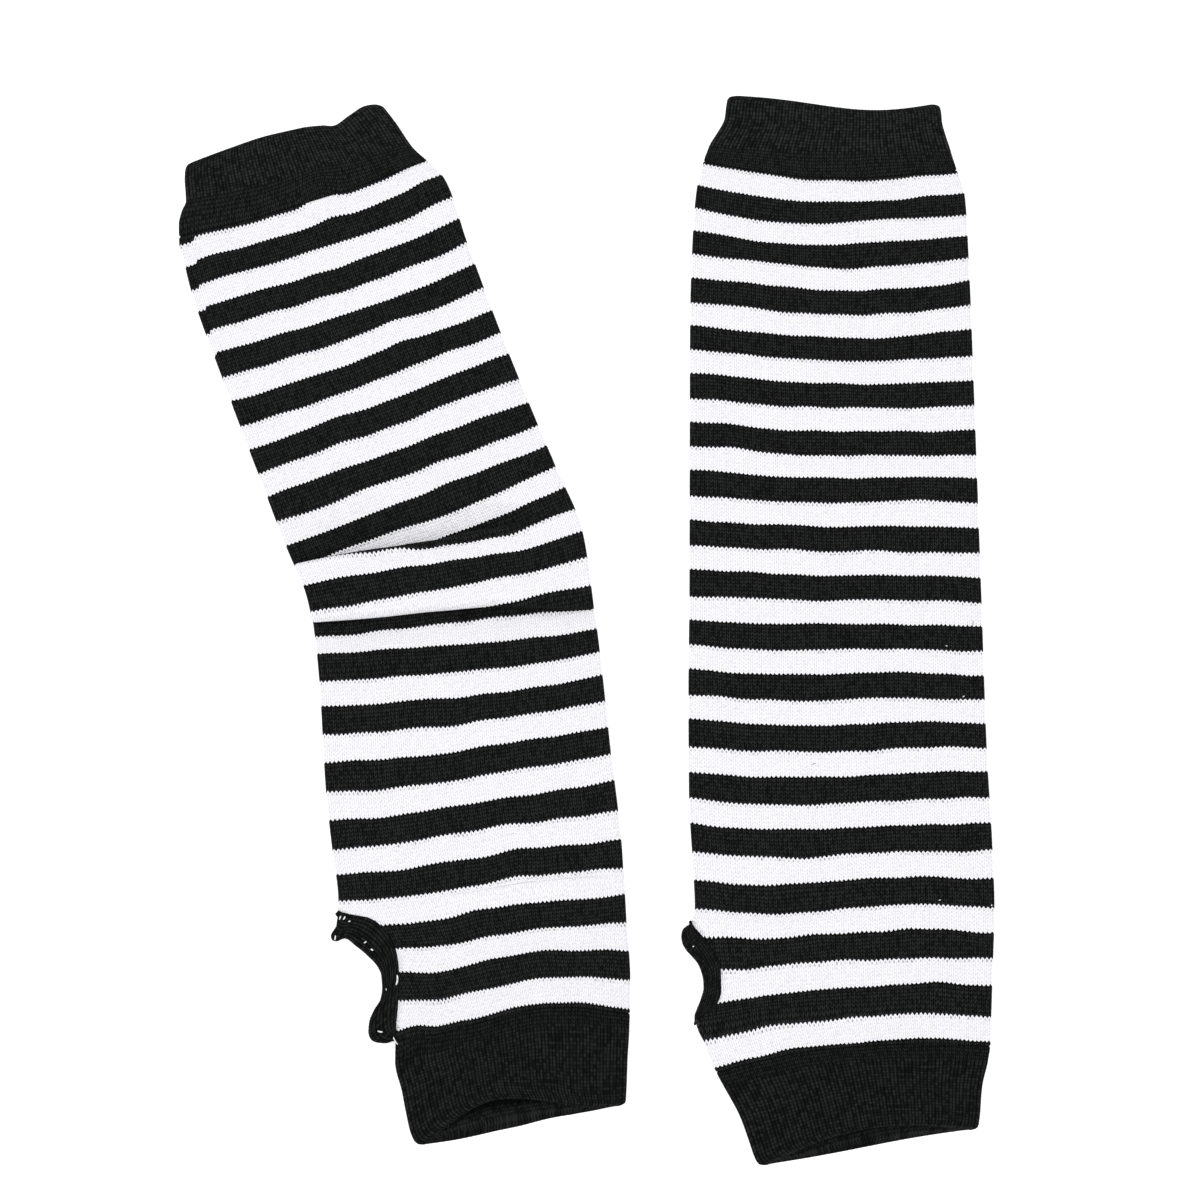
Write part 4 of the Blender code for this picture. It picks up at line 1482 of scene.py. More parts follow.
@dataclass
class RibCuff(KnitShell):
    """A cuff: a short dark jersey stretch, then a 1x1 rib that ends in a soft rolled hem.

    rib_rise is how far a rib stands proud, of which the inner side keeps inner_rise_share and the hem
    hem_rib_share. mouth is how far in from the hem the painted shade on the inner side deepens.
    """

    end: CuffEnd = CuffEnd.ELBOW
    columns_in_rib: int = 6
    rib_course: float = 0.92 * MM
    length_samples: int = 41
    rib_rise: float = 0.12 * MM
    inner_rise_share: float = 0.15
    hem_length: float = 2.6 * MM
    hem_swell: float = 0.3 * MM
    hem_rib_share: float = 0.1
    mouth: float = 8.0 * MM
    step: float = 0.75 * MM
    hem_steps: int = 6

    @property
    def name(self) -> str:
        """Name of the finished piece."""
        return f"{self.form.design.name}_{self.end.value}_ribbing"

    @property
    def node(self) -> str:
        """Name of the solid that the piece stands for."""
        return f"{self.form.design.name}_{self.end.value}_cuff"

    @property
    def towards(self) -> int:
        """1 where the hem lies towards the hand, and -1 where it lies towards the elbow."""
        return 1 if self.end is CuffEnd.HAND else -1

    @property
    def seam(self) -> float:
        """Where the cuff meets the tube's own cloth."""
        return (TUBE_COURSES + 1) * COURSE if self.end is CuffEnd.HAND else -COURSE

    @property
    def hem(self) -> float:
        """Where the hem ends."""
        return (HAND_HEM if self.end is CuffEnd.HAND else ELBOW_HEM) * STRIPE

    @property
    def rib_start(self) -> float:
        """Where the dark jersey goes over to rib."""
        if self.end is CuffEnd.HAND:
            return (TUBE_COURSES + HAND_JERSEY_COURSES) * COURSE
        return -ELBOW_JERSEY_COURSES * COURSE

    def ribbed(self, s: Array) -> Array:
        """How far the cloth has gone over to rib, from 0 to 1."""
        return ease((s - self.rib_start) * self.towards / COURSE + 0.5)

    def hemmed(self, s: Array) -> Array:
        """How far the rib has gone over to the rolled hem, from 0 to 1."""
        return ease(1 - (self.hem - s) * self.towards / self.hem_length)

    def thick(self, s: Array) -> Array:
        """Height of the whole flattened tube at a place along it."""
        jersey, rib = 2 * JERSEY_WALL + PANEL_GAP, 2 * RIB_WALL + PANEL_GAP - 2 * self.rib_rise
        return jersey + (rib - jersey) * ease((s - self.seam) / (self.rib_start - self.seam))

    def extra_courses(self, s: Array) -> Array:
        """How many more courses the piece has up to a place than plain jersey would have there."""
        along = np.linspace(self.rib_start, self.hem, self.length_samples)
        middle = self.form.middle(along, np.full(along.shape, 0.5), 1.0)
        steps = np.linalg.norm(np.diff(middle, axis=0), axis=-1)
        past = np.abs(along - self.rib_start)
        extra = np.concatenate([[0], np.cumsum(steps)]) / self.rib_course - past / COURSE
        return self.towards * np.interp((s - self.rib_start) * self.towards, past, extra)

    def shade_inward(self, s: Array) -> Array:
        """How far in a place on the inner skin is, from 0 at an open hem to 1, which sets how much painted
        shade it takes.
        """
        return ease((self.hem - s) * self.towards / self.mouth)

    def swell(self, s: Array, wales: Array, depth: float) -> Array:
        """How far the ribs and the hem stand out.

        Args:
            s: Places along the tube.
            wales: Wales round it.
            depth: 0 on the outer skin and 1 on the inner one.

        Returns:
            The distances.
        """
        aside = np.abs((wales / 2) % 1 - 0.5) * 2
        crown = 1 - (1 - aside if depth else aside) ** RIB_ROUNDNESS
        rolled = self.hemmed(s)
        amount = self.rib_rise * (self.inner_rise_share if depth else 1)
        ribs = self.ribbed(s) * amount * crown * (1 - (1 - self.hem_rib_share) * rolled)
        return ribs + self.hem_swell * (1 - depth) * rolled

    def columns(self, s: Array) -> Array:
        """The places round the tube, from 0 to 5, of a row's points: evenly spaced in wales.

        Args:
            s: The row's place along the tube.

        Returns:
            The places round the tube.
        """
        count = WALES_ACROSS * self.columns_in_rib
        wales = np.linspace(-WALES_ACROSS / 2, 1.5 * WALES_ACROSS, count + 1)
        thick = float(self.thick(s)[0])
        turn_end = math.pi * thick / 4
        reach = float(self.form.width(s)[0]) - thick
        half = reach + 2 * turn_end
        stops = [-half / 2, -turn_end, turn_end, turn_end + reach, half + turn_end, 1.5 * half]
        return np.interp(wales * half / WALES_ACROSS, stops, REGION_ENDS)

    def rows(self) -> list[SkinRow]:
        """The shell's rows, once over the outer skin and back along the inner one."""
        seam, hem = self.seam + self.towards * RIB_WALL / 2, self.hem - self.towards * RIB_WALL / 2
        places = np.linspace(seam, hem, math.ceil(abs(hem - seam) / self.step) + 1)
        outer = [SkinRow(level(s), 0.0) for s in places]
        inner = [SkinRow(level(s), 1.0) for s in places]
        far = rim(self.hem, RIB_WALL, self.towards, self.hem_steps)
        near = rim(self.seam, RIB_WALL, -self.towards, self.rim_steps)
        return outer + far + inner[::-1] + near[::-1] + outer[:1]


@dataclass
class ThumbBand:
    """The band round a thumb opening: a ribbed strip down the upper panel, turned and led back up below it.

    A low bead runs along it at bead_share of its width. narrowest_cut is not used. narrowest_cut is the
    least width that its cut is declared at.
    """

    form: WarmerForm
    wall: float = 1.1 * MM
    rib_rise: float = 0.06 * MM
    bead: float = 0.15 * MM
    bead_share: float = 0.86
    bead_reach: float = 0.1
    gap: float = 0.02 * MM
    wales: int = 8
    steps_along: int = 110
    steps_across: int = 26
    turn_steps: int = 8
    first_course: int = 300
    narrowest_cut: float = 10.0 * MM

    @property
    def name(self) -> str:
        """Name of the finished piece."""
        return f"{self.form.design.name}_thumb_ribbing"

    @property
    def node(self) -> str:
        """Name of the solid that the piece stands for."""
        return f"{self.form.design.name}_thumb_band"

    def edges(self) -> tuple[Array, Array]:
        """The band's two edges along one run.

        Returns:
            The points beside the tube and those on the free edge, in the same order.
        """
        table = self.form.design.band
        free = np.array([(p.free_x, p.free_y) for p in table]) * MM
        steps = np.hypot(*np.diff(free, axis=0).T)
        keys = list(np.concatenate([[0], np.cumsum(steps)]))
        at = np.linspace(0, keys[-1], self.steps_along + 1)
        stripes = Curve(keys, [p.stripe for p in table])(at)
        shown = self.form.shown(stripes * STRIPE, 0.0)
        flat_free = np.stack([Curve(keys, list(free[:, i]))(at) for i in (0, 1)], -1)
        flat_tube = self.form.on_edge(self.form.left, shown)
        way = flat_free - flat_tube
        flat_tube = flat_tube + way * self.gap / np.linalg.norm(way, axis=1, keepdims=True)
        rise = np.zeros((len(at), 1))
        return np.hstack([flat_tube, rise]), np.hstack([flat_free, rise])

    def profile(self, width: float) -> Array:
        """The outline of the strip's section, all the way round.

        Args:
            width: Width of the strip there.

        Returns:
            The outline's points: the share from tube to free edge, and the height from the middle.
        """
        half = self.wall / 2
        share = 0.5 - 0.5 * np.cos(np.linspace(0, math.pi, self.steps_across + 1))
        near_edge = np.minimum(share, 1 - share) * width / half
        roundness = np.sqrt(1 - (1 - np.clip(near_edge, 0, 1)) ** 2)
        ribs = 1 - (2 * np.abs((share * self.wales / 2) % 1 - 0.5)) ** RIB_ROUNDNESS
        bead = np.exp(-(((share - self.bead_share) / self.bead_reach) ** 2))
        top = half * roundness + (self.rib_rise * (ribs - 1) + self.bead * bead) * roundness
        under = -half * roundness
        return np.concatenate([np.stack([share, top], -1), np.stack([share, under], -1)[-2::-1]])

    def build(self) -> bpy.types.Object:
        """Builds the band.

        Returns:
            The new object, linked to the scene.
        """
        tube, free = self.edges()
        thick = 2 * JERSEY_WALL + PANEL_GAP
        turn_radius = (thick - self.wall) / 2
        turn_step = math.pi * turn_radius / self.turn_steps
        last, first = len(tube) - 1, 0
        rings = [(i, 0.0, np.zeros(3)) for i in range(len(tube))]
        turning = [math.pi * i / self.turn_steps for i in range(1, self.turn_steps)]
        rings += [(last, angle, self.outward(tube, free, last, last - 1)) for angle in turning]
        rings += [(i, math.pi, np.zeros(3)) for i in range(len(tube))[::-1]]
        rings += [(first, math.pi + angle, self.outward(tube, free, first, 1)) for angle in turning]
        rings.append(rings[0])
        middle = (tube + free) / 2
        steps = np.linalg.norm(np.diff(middle, axis=0), axis=1)
        along = np.concatenate([[0], np.cumsum(steps)])
        places, stitches, run = [], [], 0.0
        for ring, (i, angle, outward) in enumerate(rings):
            up = np.array([0, 0, math.cos(angle)])
            normal = up + outward * abs(math.sin(angle))
            outline = self.profile(float(np.linalg.norm(free[i] - tube[i])))
            flat = tube[i] + (free[i] - tube[i]) * outline[:, :1]
            centre = np.array([0, 0, thick / 2]) + normal * turn_radius
            places.append(flat + centre + normal * outline[:, 1:])
            if ring:
                before = rings[ring - 1][0]
                run += turn_step if before == i else abs(along[i] - along[before])
            v = np.full(len(outline), self.first_course + run / COURSE)
            stitches.append(np.stack([outline[:, 0] * self.wales, v], -1))
        places, stitches = np.array(places), np.array(stitches)
        shape = places.shape[:2]
        traits = {RIB_TRAIT: np.ones(shape), INSIDE_SHADE_TRAIT: np.zeros(shape)}
        gone = np.zeros((shape[0] - 1, shape[1] - 1), bool)
        return WrappedSheet(self.name, places, stitches, traits, gone).build()

    @staticmethod
    def outward(tube: Array, free: Array, end: int, before: int) -> Array:
        """The way that the strip turns at one of its ends: square to it, and away from the rest of it.

        Args:
            tube: The points beside the tube.
            free: The points on the free edge.
            end: Index of the end.
            before: Index of the place next to it.

        Returns:
            A level vector of length 1.
        """
        strip = free[end] - tube[end]
        square = np.array([-strip[1], strip[0], 0]) / np.linalg.norm(strip)
        onward = tube[end] + free[end] - tube[before] - free[before]
        return square * math.copysign(1, float(square @ onward))

    def flat_size(self) -> tuple[float, float]:
        """The cut of the band: its mean width and its length, twice over the opening."""
        tube, free = self.edges()
        middle = (tube + free) / 2
        run = float(np.linalg.norm(np.diff(middle, axis=0), axis=1).sum())
        width = float(np.linalg.norm(free - tube, axis=1).mean())
        return width, 2 * run + 2 * JERSEY_WALL * math.pi

    def dress(self, obj: bpy.types.Object, finish: bpy.types.Material, slot: Slot) -> None:
        """Gives the piece its finish, attaches it to the body and hides the solid that it stands for.

        Args:
            obj: The built piece.
            finish: Its material.
            slot: Not used.
        """
        obj.data.materials.append(finish)
        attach(obj, BODY)
        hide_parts(self.node)
        width, length = self.flat_size()


class Sum(Enum):
    """The sums that a finish's nodes work out."""

    ADD = "ADD"
    SUBTRACT = "SUBTRACT"
    MULTIPLY = "MULTIPLY"
    DIVIDE = "DIVIDE"
    POWER = "POWER"
    ABSOLUTE = "ABSOLUTE"
    SINE = "SINE"
    FLOOR = "FLOOR"
    FRACTION = "FRACT"
    ABOVE = "GREATER_THAN"
    TRIANGLE = "PINGPONG"


class YarnNodes:
    """A material's nodes, built up from sums over the map of stitches."""

    MIX_SHARE, MIX_A, MIX_B, MIX_OUT = 0, 6, 7, 2

    def __init__(self, name: str) -> None:
        """Starts an empty material.

        Args:
            name: The material's name.
        """
        self.material = bpy.data.materials.new(name)
        self.material.use_nodes = True
        self.tree = self.material.node_tree
        self.shader = self.tree.nodes["Principled BSDF"]

    def feed(self, socket: Socket, value: Term) -> None:
        """Sets a socket, or links another one to it.

        Args:
            socket: The socket to feed.
            value: A number or colour, or the socket that gives it.
        """
        if isinstance(value, bpy.types.NodeSocket):
            self.tree.links.new(value, socket)
        else:
            socket.default_value = value

    def sum(self, kind: Sum, *terms: Term) -> Socket:
        """A sum of one or two terms.

        Args:
            kind: What the sum does.
            terms: Numbers or sockets.

        Returns:
            The socket that gives the result.
        """
        node = self.tree.nodes.new("ShaderNodeMath")
        node.operation = kind.value
        for socket, term in zip(node.inputs, terms):
            self.feed(socket, term)
        return node.outputs[0]

    def product(self, *terms: Term) -> Socket:
        """All the terms, multiplied."""
        total = terms[0]
        for term in terms[1:]:
            total = self.sum(Sum.MULTIPLY, total, term)
        return total

    def rest(self, share: Term) -> Socket:
        """What a share leaves of 1."""
        return self.sum(Sum.SUBTRACT, 1.0, share)

    def spread(self, share: Term, first: float, last: float) -> Socket:
        """A value that runs evenly from the first number, at a share of 0, to the last, at 1."""
        return self.sum(Sum.ADD, self.product(share, last - first), first)

    def off(self, value: Term, middle: float) -> Socket:
        """How far a value is from a middle one, either way."""
        return self.sum(Sum.ABSOLUTE, self.sum(Sum.SUBTRACT, value, middle))

    def arches(self, place: Term, count: int = 1) -> Socket:
        """Round arches from 0 to 1, so many for each whole number of a place."""
        return self.sum(Sum.ABSOLUTE, self.sum(Sum.SINE, self.product(place, count * math.pi)))

    def eased(self, value: Term, low: float, high: float) -> Socket:
        """A smooth step.

        Args:
            value: What steps.
            low: Where the step is 0.
            high: Where it is 1.

        Returns:
            The socket that gives the step.
        """
        node = self.tree.nodes.new("ShaderNodeMapRange")
        node.interpolation_type = "SMOOTHSTEP"
        self.feed(node.inputs["Value"], value)
        node.inputs["From Min"].default_value = low
        node.inputs["From Max"].default_value = high
        return node.outputs["Result"]

    def blend(self, share: Term, a: Term, b: Term) -> Socket:
        """A mix of two colours.

        Args:
            share: How much of the second one.
            a: The first colour.
            b: The second one.

        Returns:
            The socket that gives the mix.
        """
        node = self.tree.nodes.new("ShaderNodeMix")
        node.data_type = "RGBA"
        self.feed(node.inputs[self.MIX_SHARE], share)
        self.feed(node.inputs[self.MIX_A], a)
        self.feed(node.inputs[self.MIX_B], b)
        return node.outputs[self.MIX_OUT]

    def trait(self, name: str) -> Socket:
        """One of the piece's named traits.

        Args:
            name: The attribute's name.

        Returns:
            The socket that gives it.
        """
        node = self.tree.nodes.new("ShaderNodeAttribute")
        node.attribute_name = name
        return node.outputs["Fac"]

    def stitch_place(self) -> tuple[Socket, Socket]:
        """The wale and the course on the map of stitches."""
        node = self.tree.nodes.new("ShaderNodeUVMap")
        node.uv_map = STITCH_MAP
        parts = self.tree.nodes.new("ShaderNodeSeparateXYZ")
        self.feed(parts.inputs[0], node.outputs["UV"])
        return parts.outputs[0], parts.outputs[1]

    def noise(self, length: float, detail: float = 2.0) -> Socket:
        """Soft noise in space.

        Args:
            length: About how far apart its swells are.
            detail: How much finer noise it has.

        Returns:
            The socket that gives it, from 0 to 1.
        """
        place = self.tree.nodes.new("ShaderNodeTexCoord")
        node = self.tree.nodes.new("ShaderNodeTexNoise")
        self.feed(node.inputs["Vector"], place.outputs["Object"])
        node.inputs["Scale"].default_value = 1 / length
        node.inputs["Detail"].default_value = detail
        return node.outputs["Fac"]

    def chance(self, a: Term, b: Term) -> Socket:
        """A number between 0 and 1 for each pair of whole numbers.

        Args:
            a: The first whole number.
            b: The second one.

        Returns:
            The socket that gives it.
        """
        pair = self.tree.nodes.new("ShaderNodeCombineXYZ")
        self.feed(pair.inputs[0], a)
        self.feed(pair.inputs[1], b)
        node = self.tree.nodes.new("ShaderNodeTexWhiteNoise")
        node.noise_dimensions = "2D"
        self.feed(node.inputs["Vector"], pair.outputs[0])
        return node.outputs["Value"]

    def bump(self, height: Term, distance: float, strength: float) -> None:
        """Gives the shader a fine relief.

        Args:
            height: The socket that gives the relief, from 0 to 1.
            distance: How high 1 is.
            strength: How much of it is felt.
        """
        node = self.tree.nodes.new("ShaderNodeBump")
        node.inputs["Strength"].default_value = strength
        node.inputs["Distance"].default_value = distance
        self.feed(node.inputs["Height"], height)
        self.feed(self.shader.inputs["Normal"], node.outputs["Normal"])


@dataclass(frozen=True)
class Yarn:
    """The colours of a yarn: on the crowns of its stitches, and the painted shade deep between them."""

    crown: Colour
    deep: Colour


# The deep colours are painted shade between the stitches: lavender under the light yarn, near black under
# the dark.
LIGHT_YARN = Yarn(crown=(0.905, 0.903, 0.910, 1), deep=(0.600, 0.585, 0.665, 1))
DARK_YARN = Yarn(crown=(0.0262, 0.0279, 0.0270, 1), deep=(0.0004, 0.0005, 0.0006, 1))
DARKER_YARN = Yarn(crown=(0.0195, 0.0208, 0.0202, 1), deep=(0.0004, 0.0005, 0.0006, 1))
# For the loose ends the deep colour is that of their darker patches.
LIGHT_END = Yarn(crown=(0.80, 0.80, 0.81, 1), deep=(0.45, 0.45, 0.47, 1))
DARK_END = Yarn(crown=(0.03, 0.03, 0.03, 1), deep=(0.01, 0.01, 0.01, 1))


@dataclass(frozen=True)
class KnitFinish:
    """A knitted surface in two yarns, or in the dark one alone.

    tooth and rib_tooth are how far a course climbs between wales and between ribs, in courses, and fray is
    how far the line where two yarns meet strays. The dark yarn takes over dark_early courses too soon.
    groove and rib_groove are how much darker the cloth is between wales and ribs, as painted shade, and
    grooved where this sets in. floor and rib_floor are how light the painted shade between courses leaves
    the cloth, and rib_top how light a rib's stitches are, against 1 for a jersey stitch, whose shape falls
    off by the powers legs and loops; this shape also gives the bump. luck and fibres say how unevenly light
    it is. Light yarn has its full colour from light_from up. Dark yarn peeps through it near peep_course,
    and its last courses take a painted grey shade between the wales, next to the dark stripe. mouth_shade is
    how much of its light the inner side loses away from an open hem, as painted shade in its colour.
    """

    name: str
    dark: Yarn = DARK_YARN
    light: Yarn = LIGHT_YARN
    peeping: Colour = (0.10, 0.10, 0.12, 1)
    # Painted grey shade for the light stripe's last courses, next to the dark stripe.
    shaded: Colour = (0.42, 0.40, 0.50, 1)
    striped: bool = True
    tooth: float = 0.52
    rib_tooth: float = 0.16
    tooth_power: float = 1.4
    fray: float = 0.5
    fray_length: float = 0.5 * MM
    dark_early: float = 0.35
    groove: float = 0.42
    rib_groove: float = 0.3
    grooved: tuple[float, float] = (0.3, 0.9)
    floor: float = 0.14
    rib_floor: float = 0.35
    rib_top: float = 0.8
    legs: float = 0.9
    loops: float = 1.4
    purl_wave: float = 0.25
    luck: tuple[float, float] = (0.4, 1.6)
    fibres: tuple[float, float] = (0.55, 1.45)
    fibre_length: float = 0.22 * MM
    light_from: float = 0.34
    peep_course: float = 0.8
    peep_reach: tuple[float, float] = (0.1, 0.45)
    peep_aside: tuple[float, float] = (0.45, 0.85)
    peep_luck: tuple[float, float] = (0.05, 0.8)
    edge_shade: float = 0.22
    edge_shade_courses: tuple[float, float] = (1.1, 0.2)
    edge_shade_aside: tuple[float, float] = (0.2, 0.9)
    mouth: tuple[float, float] = (HEM_INSIDE, 0.8)
    mouth_shade: float = 0.85
    roughness: float = 0.9
    gloss: float = 0.02
    sheen: float = 0.012
    sheen_roughness: float = 0.55
    stitch_height: float = 0.28 * MM
    stitch_strength: float = 0.8

    def material(self) -> bpy.types.Material:
        """Builds the material.

        Returns:
            The new material.
        """
        nodes = YarnNodes(self.name)
        u, v = nodes.stitch_place()
        ribbed = nodes.sum(Sum.ABOVE, nodes.trait(RIB_TRAIT), 0.5)
        inside_and_shade = nodes.trait(INSIDE_SHADE_TRAIT)
        inside = nodes.sum(Sum.ABOVE, inside_and_shade, HEM_INSIDE / 2)
        wale = nodes.product(u, nodes.rest(nodes.product(ribbed, 0.5)))
        aside = nodes.rest(nodes.product(nodes.sum(Sum.TRIANGLE, wale, 0.5), 2.0))
        course = self.yarn_course(nodes, v, aside, ribbed)
        crown = self.crown(nodes, u, v, wale, course, aside, ribbed, inside)
        # Painted shade: the inner side's colour darkens away from an open hem, and its bump flattens with
        # it.
        shade = nodes.product(nodes.eased(inside_and_shade, *self.mouth), self.mouth_shade)
        crown = nodes.product(crown, nodes.rest(shade))
        # Between the stitches the deep colour is painted shade.
        colour = nodes.blend(crown, self.dark.deep, self.dark.crown)
        if self.striped:
            colour = self.stripes(nodes, u, course, aside, crown, colour)
        nodes.feed(nodes.shader.inputs["Base Color"], colour)
        nodes.shader.inputs["Roughness"].default_value = self.roughness
        nodes.shader.inputs["Specular IOR Level"].default_value = self.gloss
        nodes.shader.inputs["Sheen Weight"].default_value = self.sheen
        nodes.shader.inputs["Sheen Roughness"].default_value = self.sheen_roughness
        nodes.bump(crown, self.stitch_height, self.stitch_strength)
        return nodes.material

    def yarn_course(self, nodes: YarnNodes, v: Socket, aside: Socket, ribbed: Socket) -> Socket:
        """The course that the yarn at a place belongs to.

        It climbs in sharp teeth where dark follows light, halfway through a pair of stripes, and in round
        ones where light follows dark, which is nearer to either end of the pair.

        Args:
            nodes: The material's nodes.
            v: The course on the map of stitches.
            aside: 0 in the middle of a wale and 1 between wales.
            ribbed: 1 on rib and 0 on jersey.

        Returns:
            The socket that gives the course.
        """
        in_pair = nodes.sum(Sum.FRACTION, nodes.sum(Sum.DIVIDE, v, 2.0 * COURSES_IN_STRIPE))
        round_one = nodes.sum(Sum.ABOVE, nodes.off(in_pair, 0.5), 0.25)
        sharp = nodes.sum(Sum.POWER, aside, self.tooth_power)
        rounder = nodes.sum(Sum.SUBTRACT, nodes.eased(aside, 0.0, 1.0), sharp)
        rise = nodes.sum(Sum.ADD, sharp, nodes.product(round_one, rounder))
        tooth = nodes.spread(ribbed, self.tooth, self.rib_tooth)
        rise = nodes.product(nodes.sum(Sum.SUBTRACT, rise, 0.5), tooth)
        fray = nodes.product(nodes.sum(Sum.SUBTRACT, nodes.noise(self.fray_length), 0.5), self.fray)
        return nodes.sum(Sum.ADD, nodes.sum(Sum.ADD, v, rise), fray)

    def crown(
        self,
        nodes: YarnNodes,
        u: Socket,
        v: Socket,
        wale: Socket,
        course: Socket,
        aside: Socket,
        ribbed: Socket,
        inside: Socket,
    ) -> Socket:
        """How near a place is to the crown of its stitch, which sets both the painted shade between stitches
        and the bump.

        Args:
            nodes: The material's nodes.
            u: The wale on the map of stitches.
            v: The course on it.
            wale: The wale that shows, of which a rib has one for two.
            course: The course that the yarn belongs to.
            aside: 0 in the middle of a wale and 1 between wales.
            ribbed: 1 on rib and 0 on jersey.
            inside: 1 on the inner skin and 0 on the outer one.

        Returns:
            The socket that gives it: 0 deep between the stitches and 1 on their crowns.
        """
        floor = nodes.spread(ribbed, self.floor, self.rib_floor)
        top = nodes.spread(ribbed, 1.0, self.rib_top)
        legs = nodes.sum(Sum.POWER, nodes.arches(wale, 2), self.legs)
        loops = nodes.sum(Sum.POWER, nodes.arches(course), self.loops)
        loops = nodes.product(loops, nodes.sum(Sum.SUBTRACT, top, floor))
        right_side = nodes.product(legs, nodes.sum(Sum.ADD, loops, floor))
        wave = nodes.product(nodes.sum(Sum.SINE, nodes.product(u, 2 * math.pi)), self.purl_wave)
        purl = nodes.arches(nodes.sum(Sum.ADD, v, wave))
        shown = nodes.product(right_side, nodes.rest(inside))
        crown = nodes.sum(Sum.ADD, shown, nodes.product(purl, inside))
        depth = nodes.spread(ribbed, self.groove, self.rib_groove)
        groove = nodes.product(nodes.eased(aside, *self.grooved), depth)
        leg = nodes.sum(Sum.FLOOR, nodes.product(wale, 2.0))
        luck = nodes.chance(leg, nodes.sum(Sum.FLOOR, course))
        fibres = nodes.spread(nodes.noise(self.fibre_length, 3.0), *self.fibres)
        return nodes.product(crown, nodes.rest(groove), nodes.spread(luck, *self.luck), fibres)

    def stripes(
        self, nodes: YarnNodes, u: Socket, course: Socket, aside: Socket, crown: Socket, dark: Socket
    ) -> Socket:
        """Lays the light stripes over the dark yarn.

        Args:
            nodes: The material's nodes.
            u: The wale.
            course: The course that the yarn belongs to.
            aside: 0 in the middle of a wale and 1 between wales.
            crown: 0 deep between the stitches and 1 on their crowns.
            dark: The dark yarn's colour.

        Returns:
            The socket that gives the colour.
        """
        both = 2 * COURSES_IN_STRIPE
        in_pair = nodes.sum(Sum.FRACTION, nodes.sum(Sum.DIVIDE, course, both))
        is_dark = nodes.sum(Sum.ABOVE, in_pair, 0.5 - self.dark_early / both)
        light = nodes.blend(nodes.eased(crown, 0.0, self.light_from), self.light.deep, self.light.crown)
        from_dark = nodes.product(in_pair, both)
        wale_between = nodes.sum(Sum.FLOOR, nodes.sum(Sum.ADD, u, 0.5))
        stripe = nodes.sum(Sum.FLOOR, nodes.sum(Sum.DIVIDE, course, both))
        luck = nodes.chance(wale_between, stripe)
        spot = nodes.product(
            nodes.eased(aside, *self.peep_aside),
            nodes.rest(nodes.eased(nodes.off(from_dark, self.peep_course), *self.peep_reach)),
            nodes.spread(luck, *self.peep_luck),
        )
        light = nodes.blend(spot, light, self.peeping)
        # Painted shade: the light yarn's last courses, next to the dark stripe, grey between the wales.
        first, full = (COURSES_IN_STRIPE - left for left in self.edge_shade_courses)
        last = nodes.eased(from_dark, first, full)
        edge_shade = nodes.product(last, self.edge_shade, nodes.eased(aside, *self.edge_shade_aside))
        return nodes.blend(is_dark, nodes.blend(edge_shade, light, self.shaded), dark)


@dataclass(frozen=True)
class FibreFinish:
    """Loose yarn: a soft matt fibre that is a little darker in places."""

    name: str
    yarn: Yarn
    roughness: float = 0.9
    gloss: float = 0.02
    patches: tuple[float, float] = (0.3, 0.5)
    patch_length: float = 0.5 * MM
    fuzz_height: float = 0.05 * MM
    fuzz_strength: float = 0.5

    def material(self) -> bpy.types.Material:
        """Builds the material.

        Returns:
            The new material.
        """
        nodes = YarnNodes(self.name)
        patches = nodes.noise(self.patch_length)
        colour = nodes.blend(nodes.eased(patches, *self.patches), self.yarn.deep, self.yarn.crown)
        nodes.feed(nodes.shader.inputs["Base Color"], colour)
        nodes.shader.inputs["Roughness"].default_value = self.roughness
        nodes.shader.inputs["Specular IOR Level"].default_value = self.gloss
        nodes.bump(patches, self.fuzz_height, self.fuzz_strength)
        return nodes.material


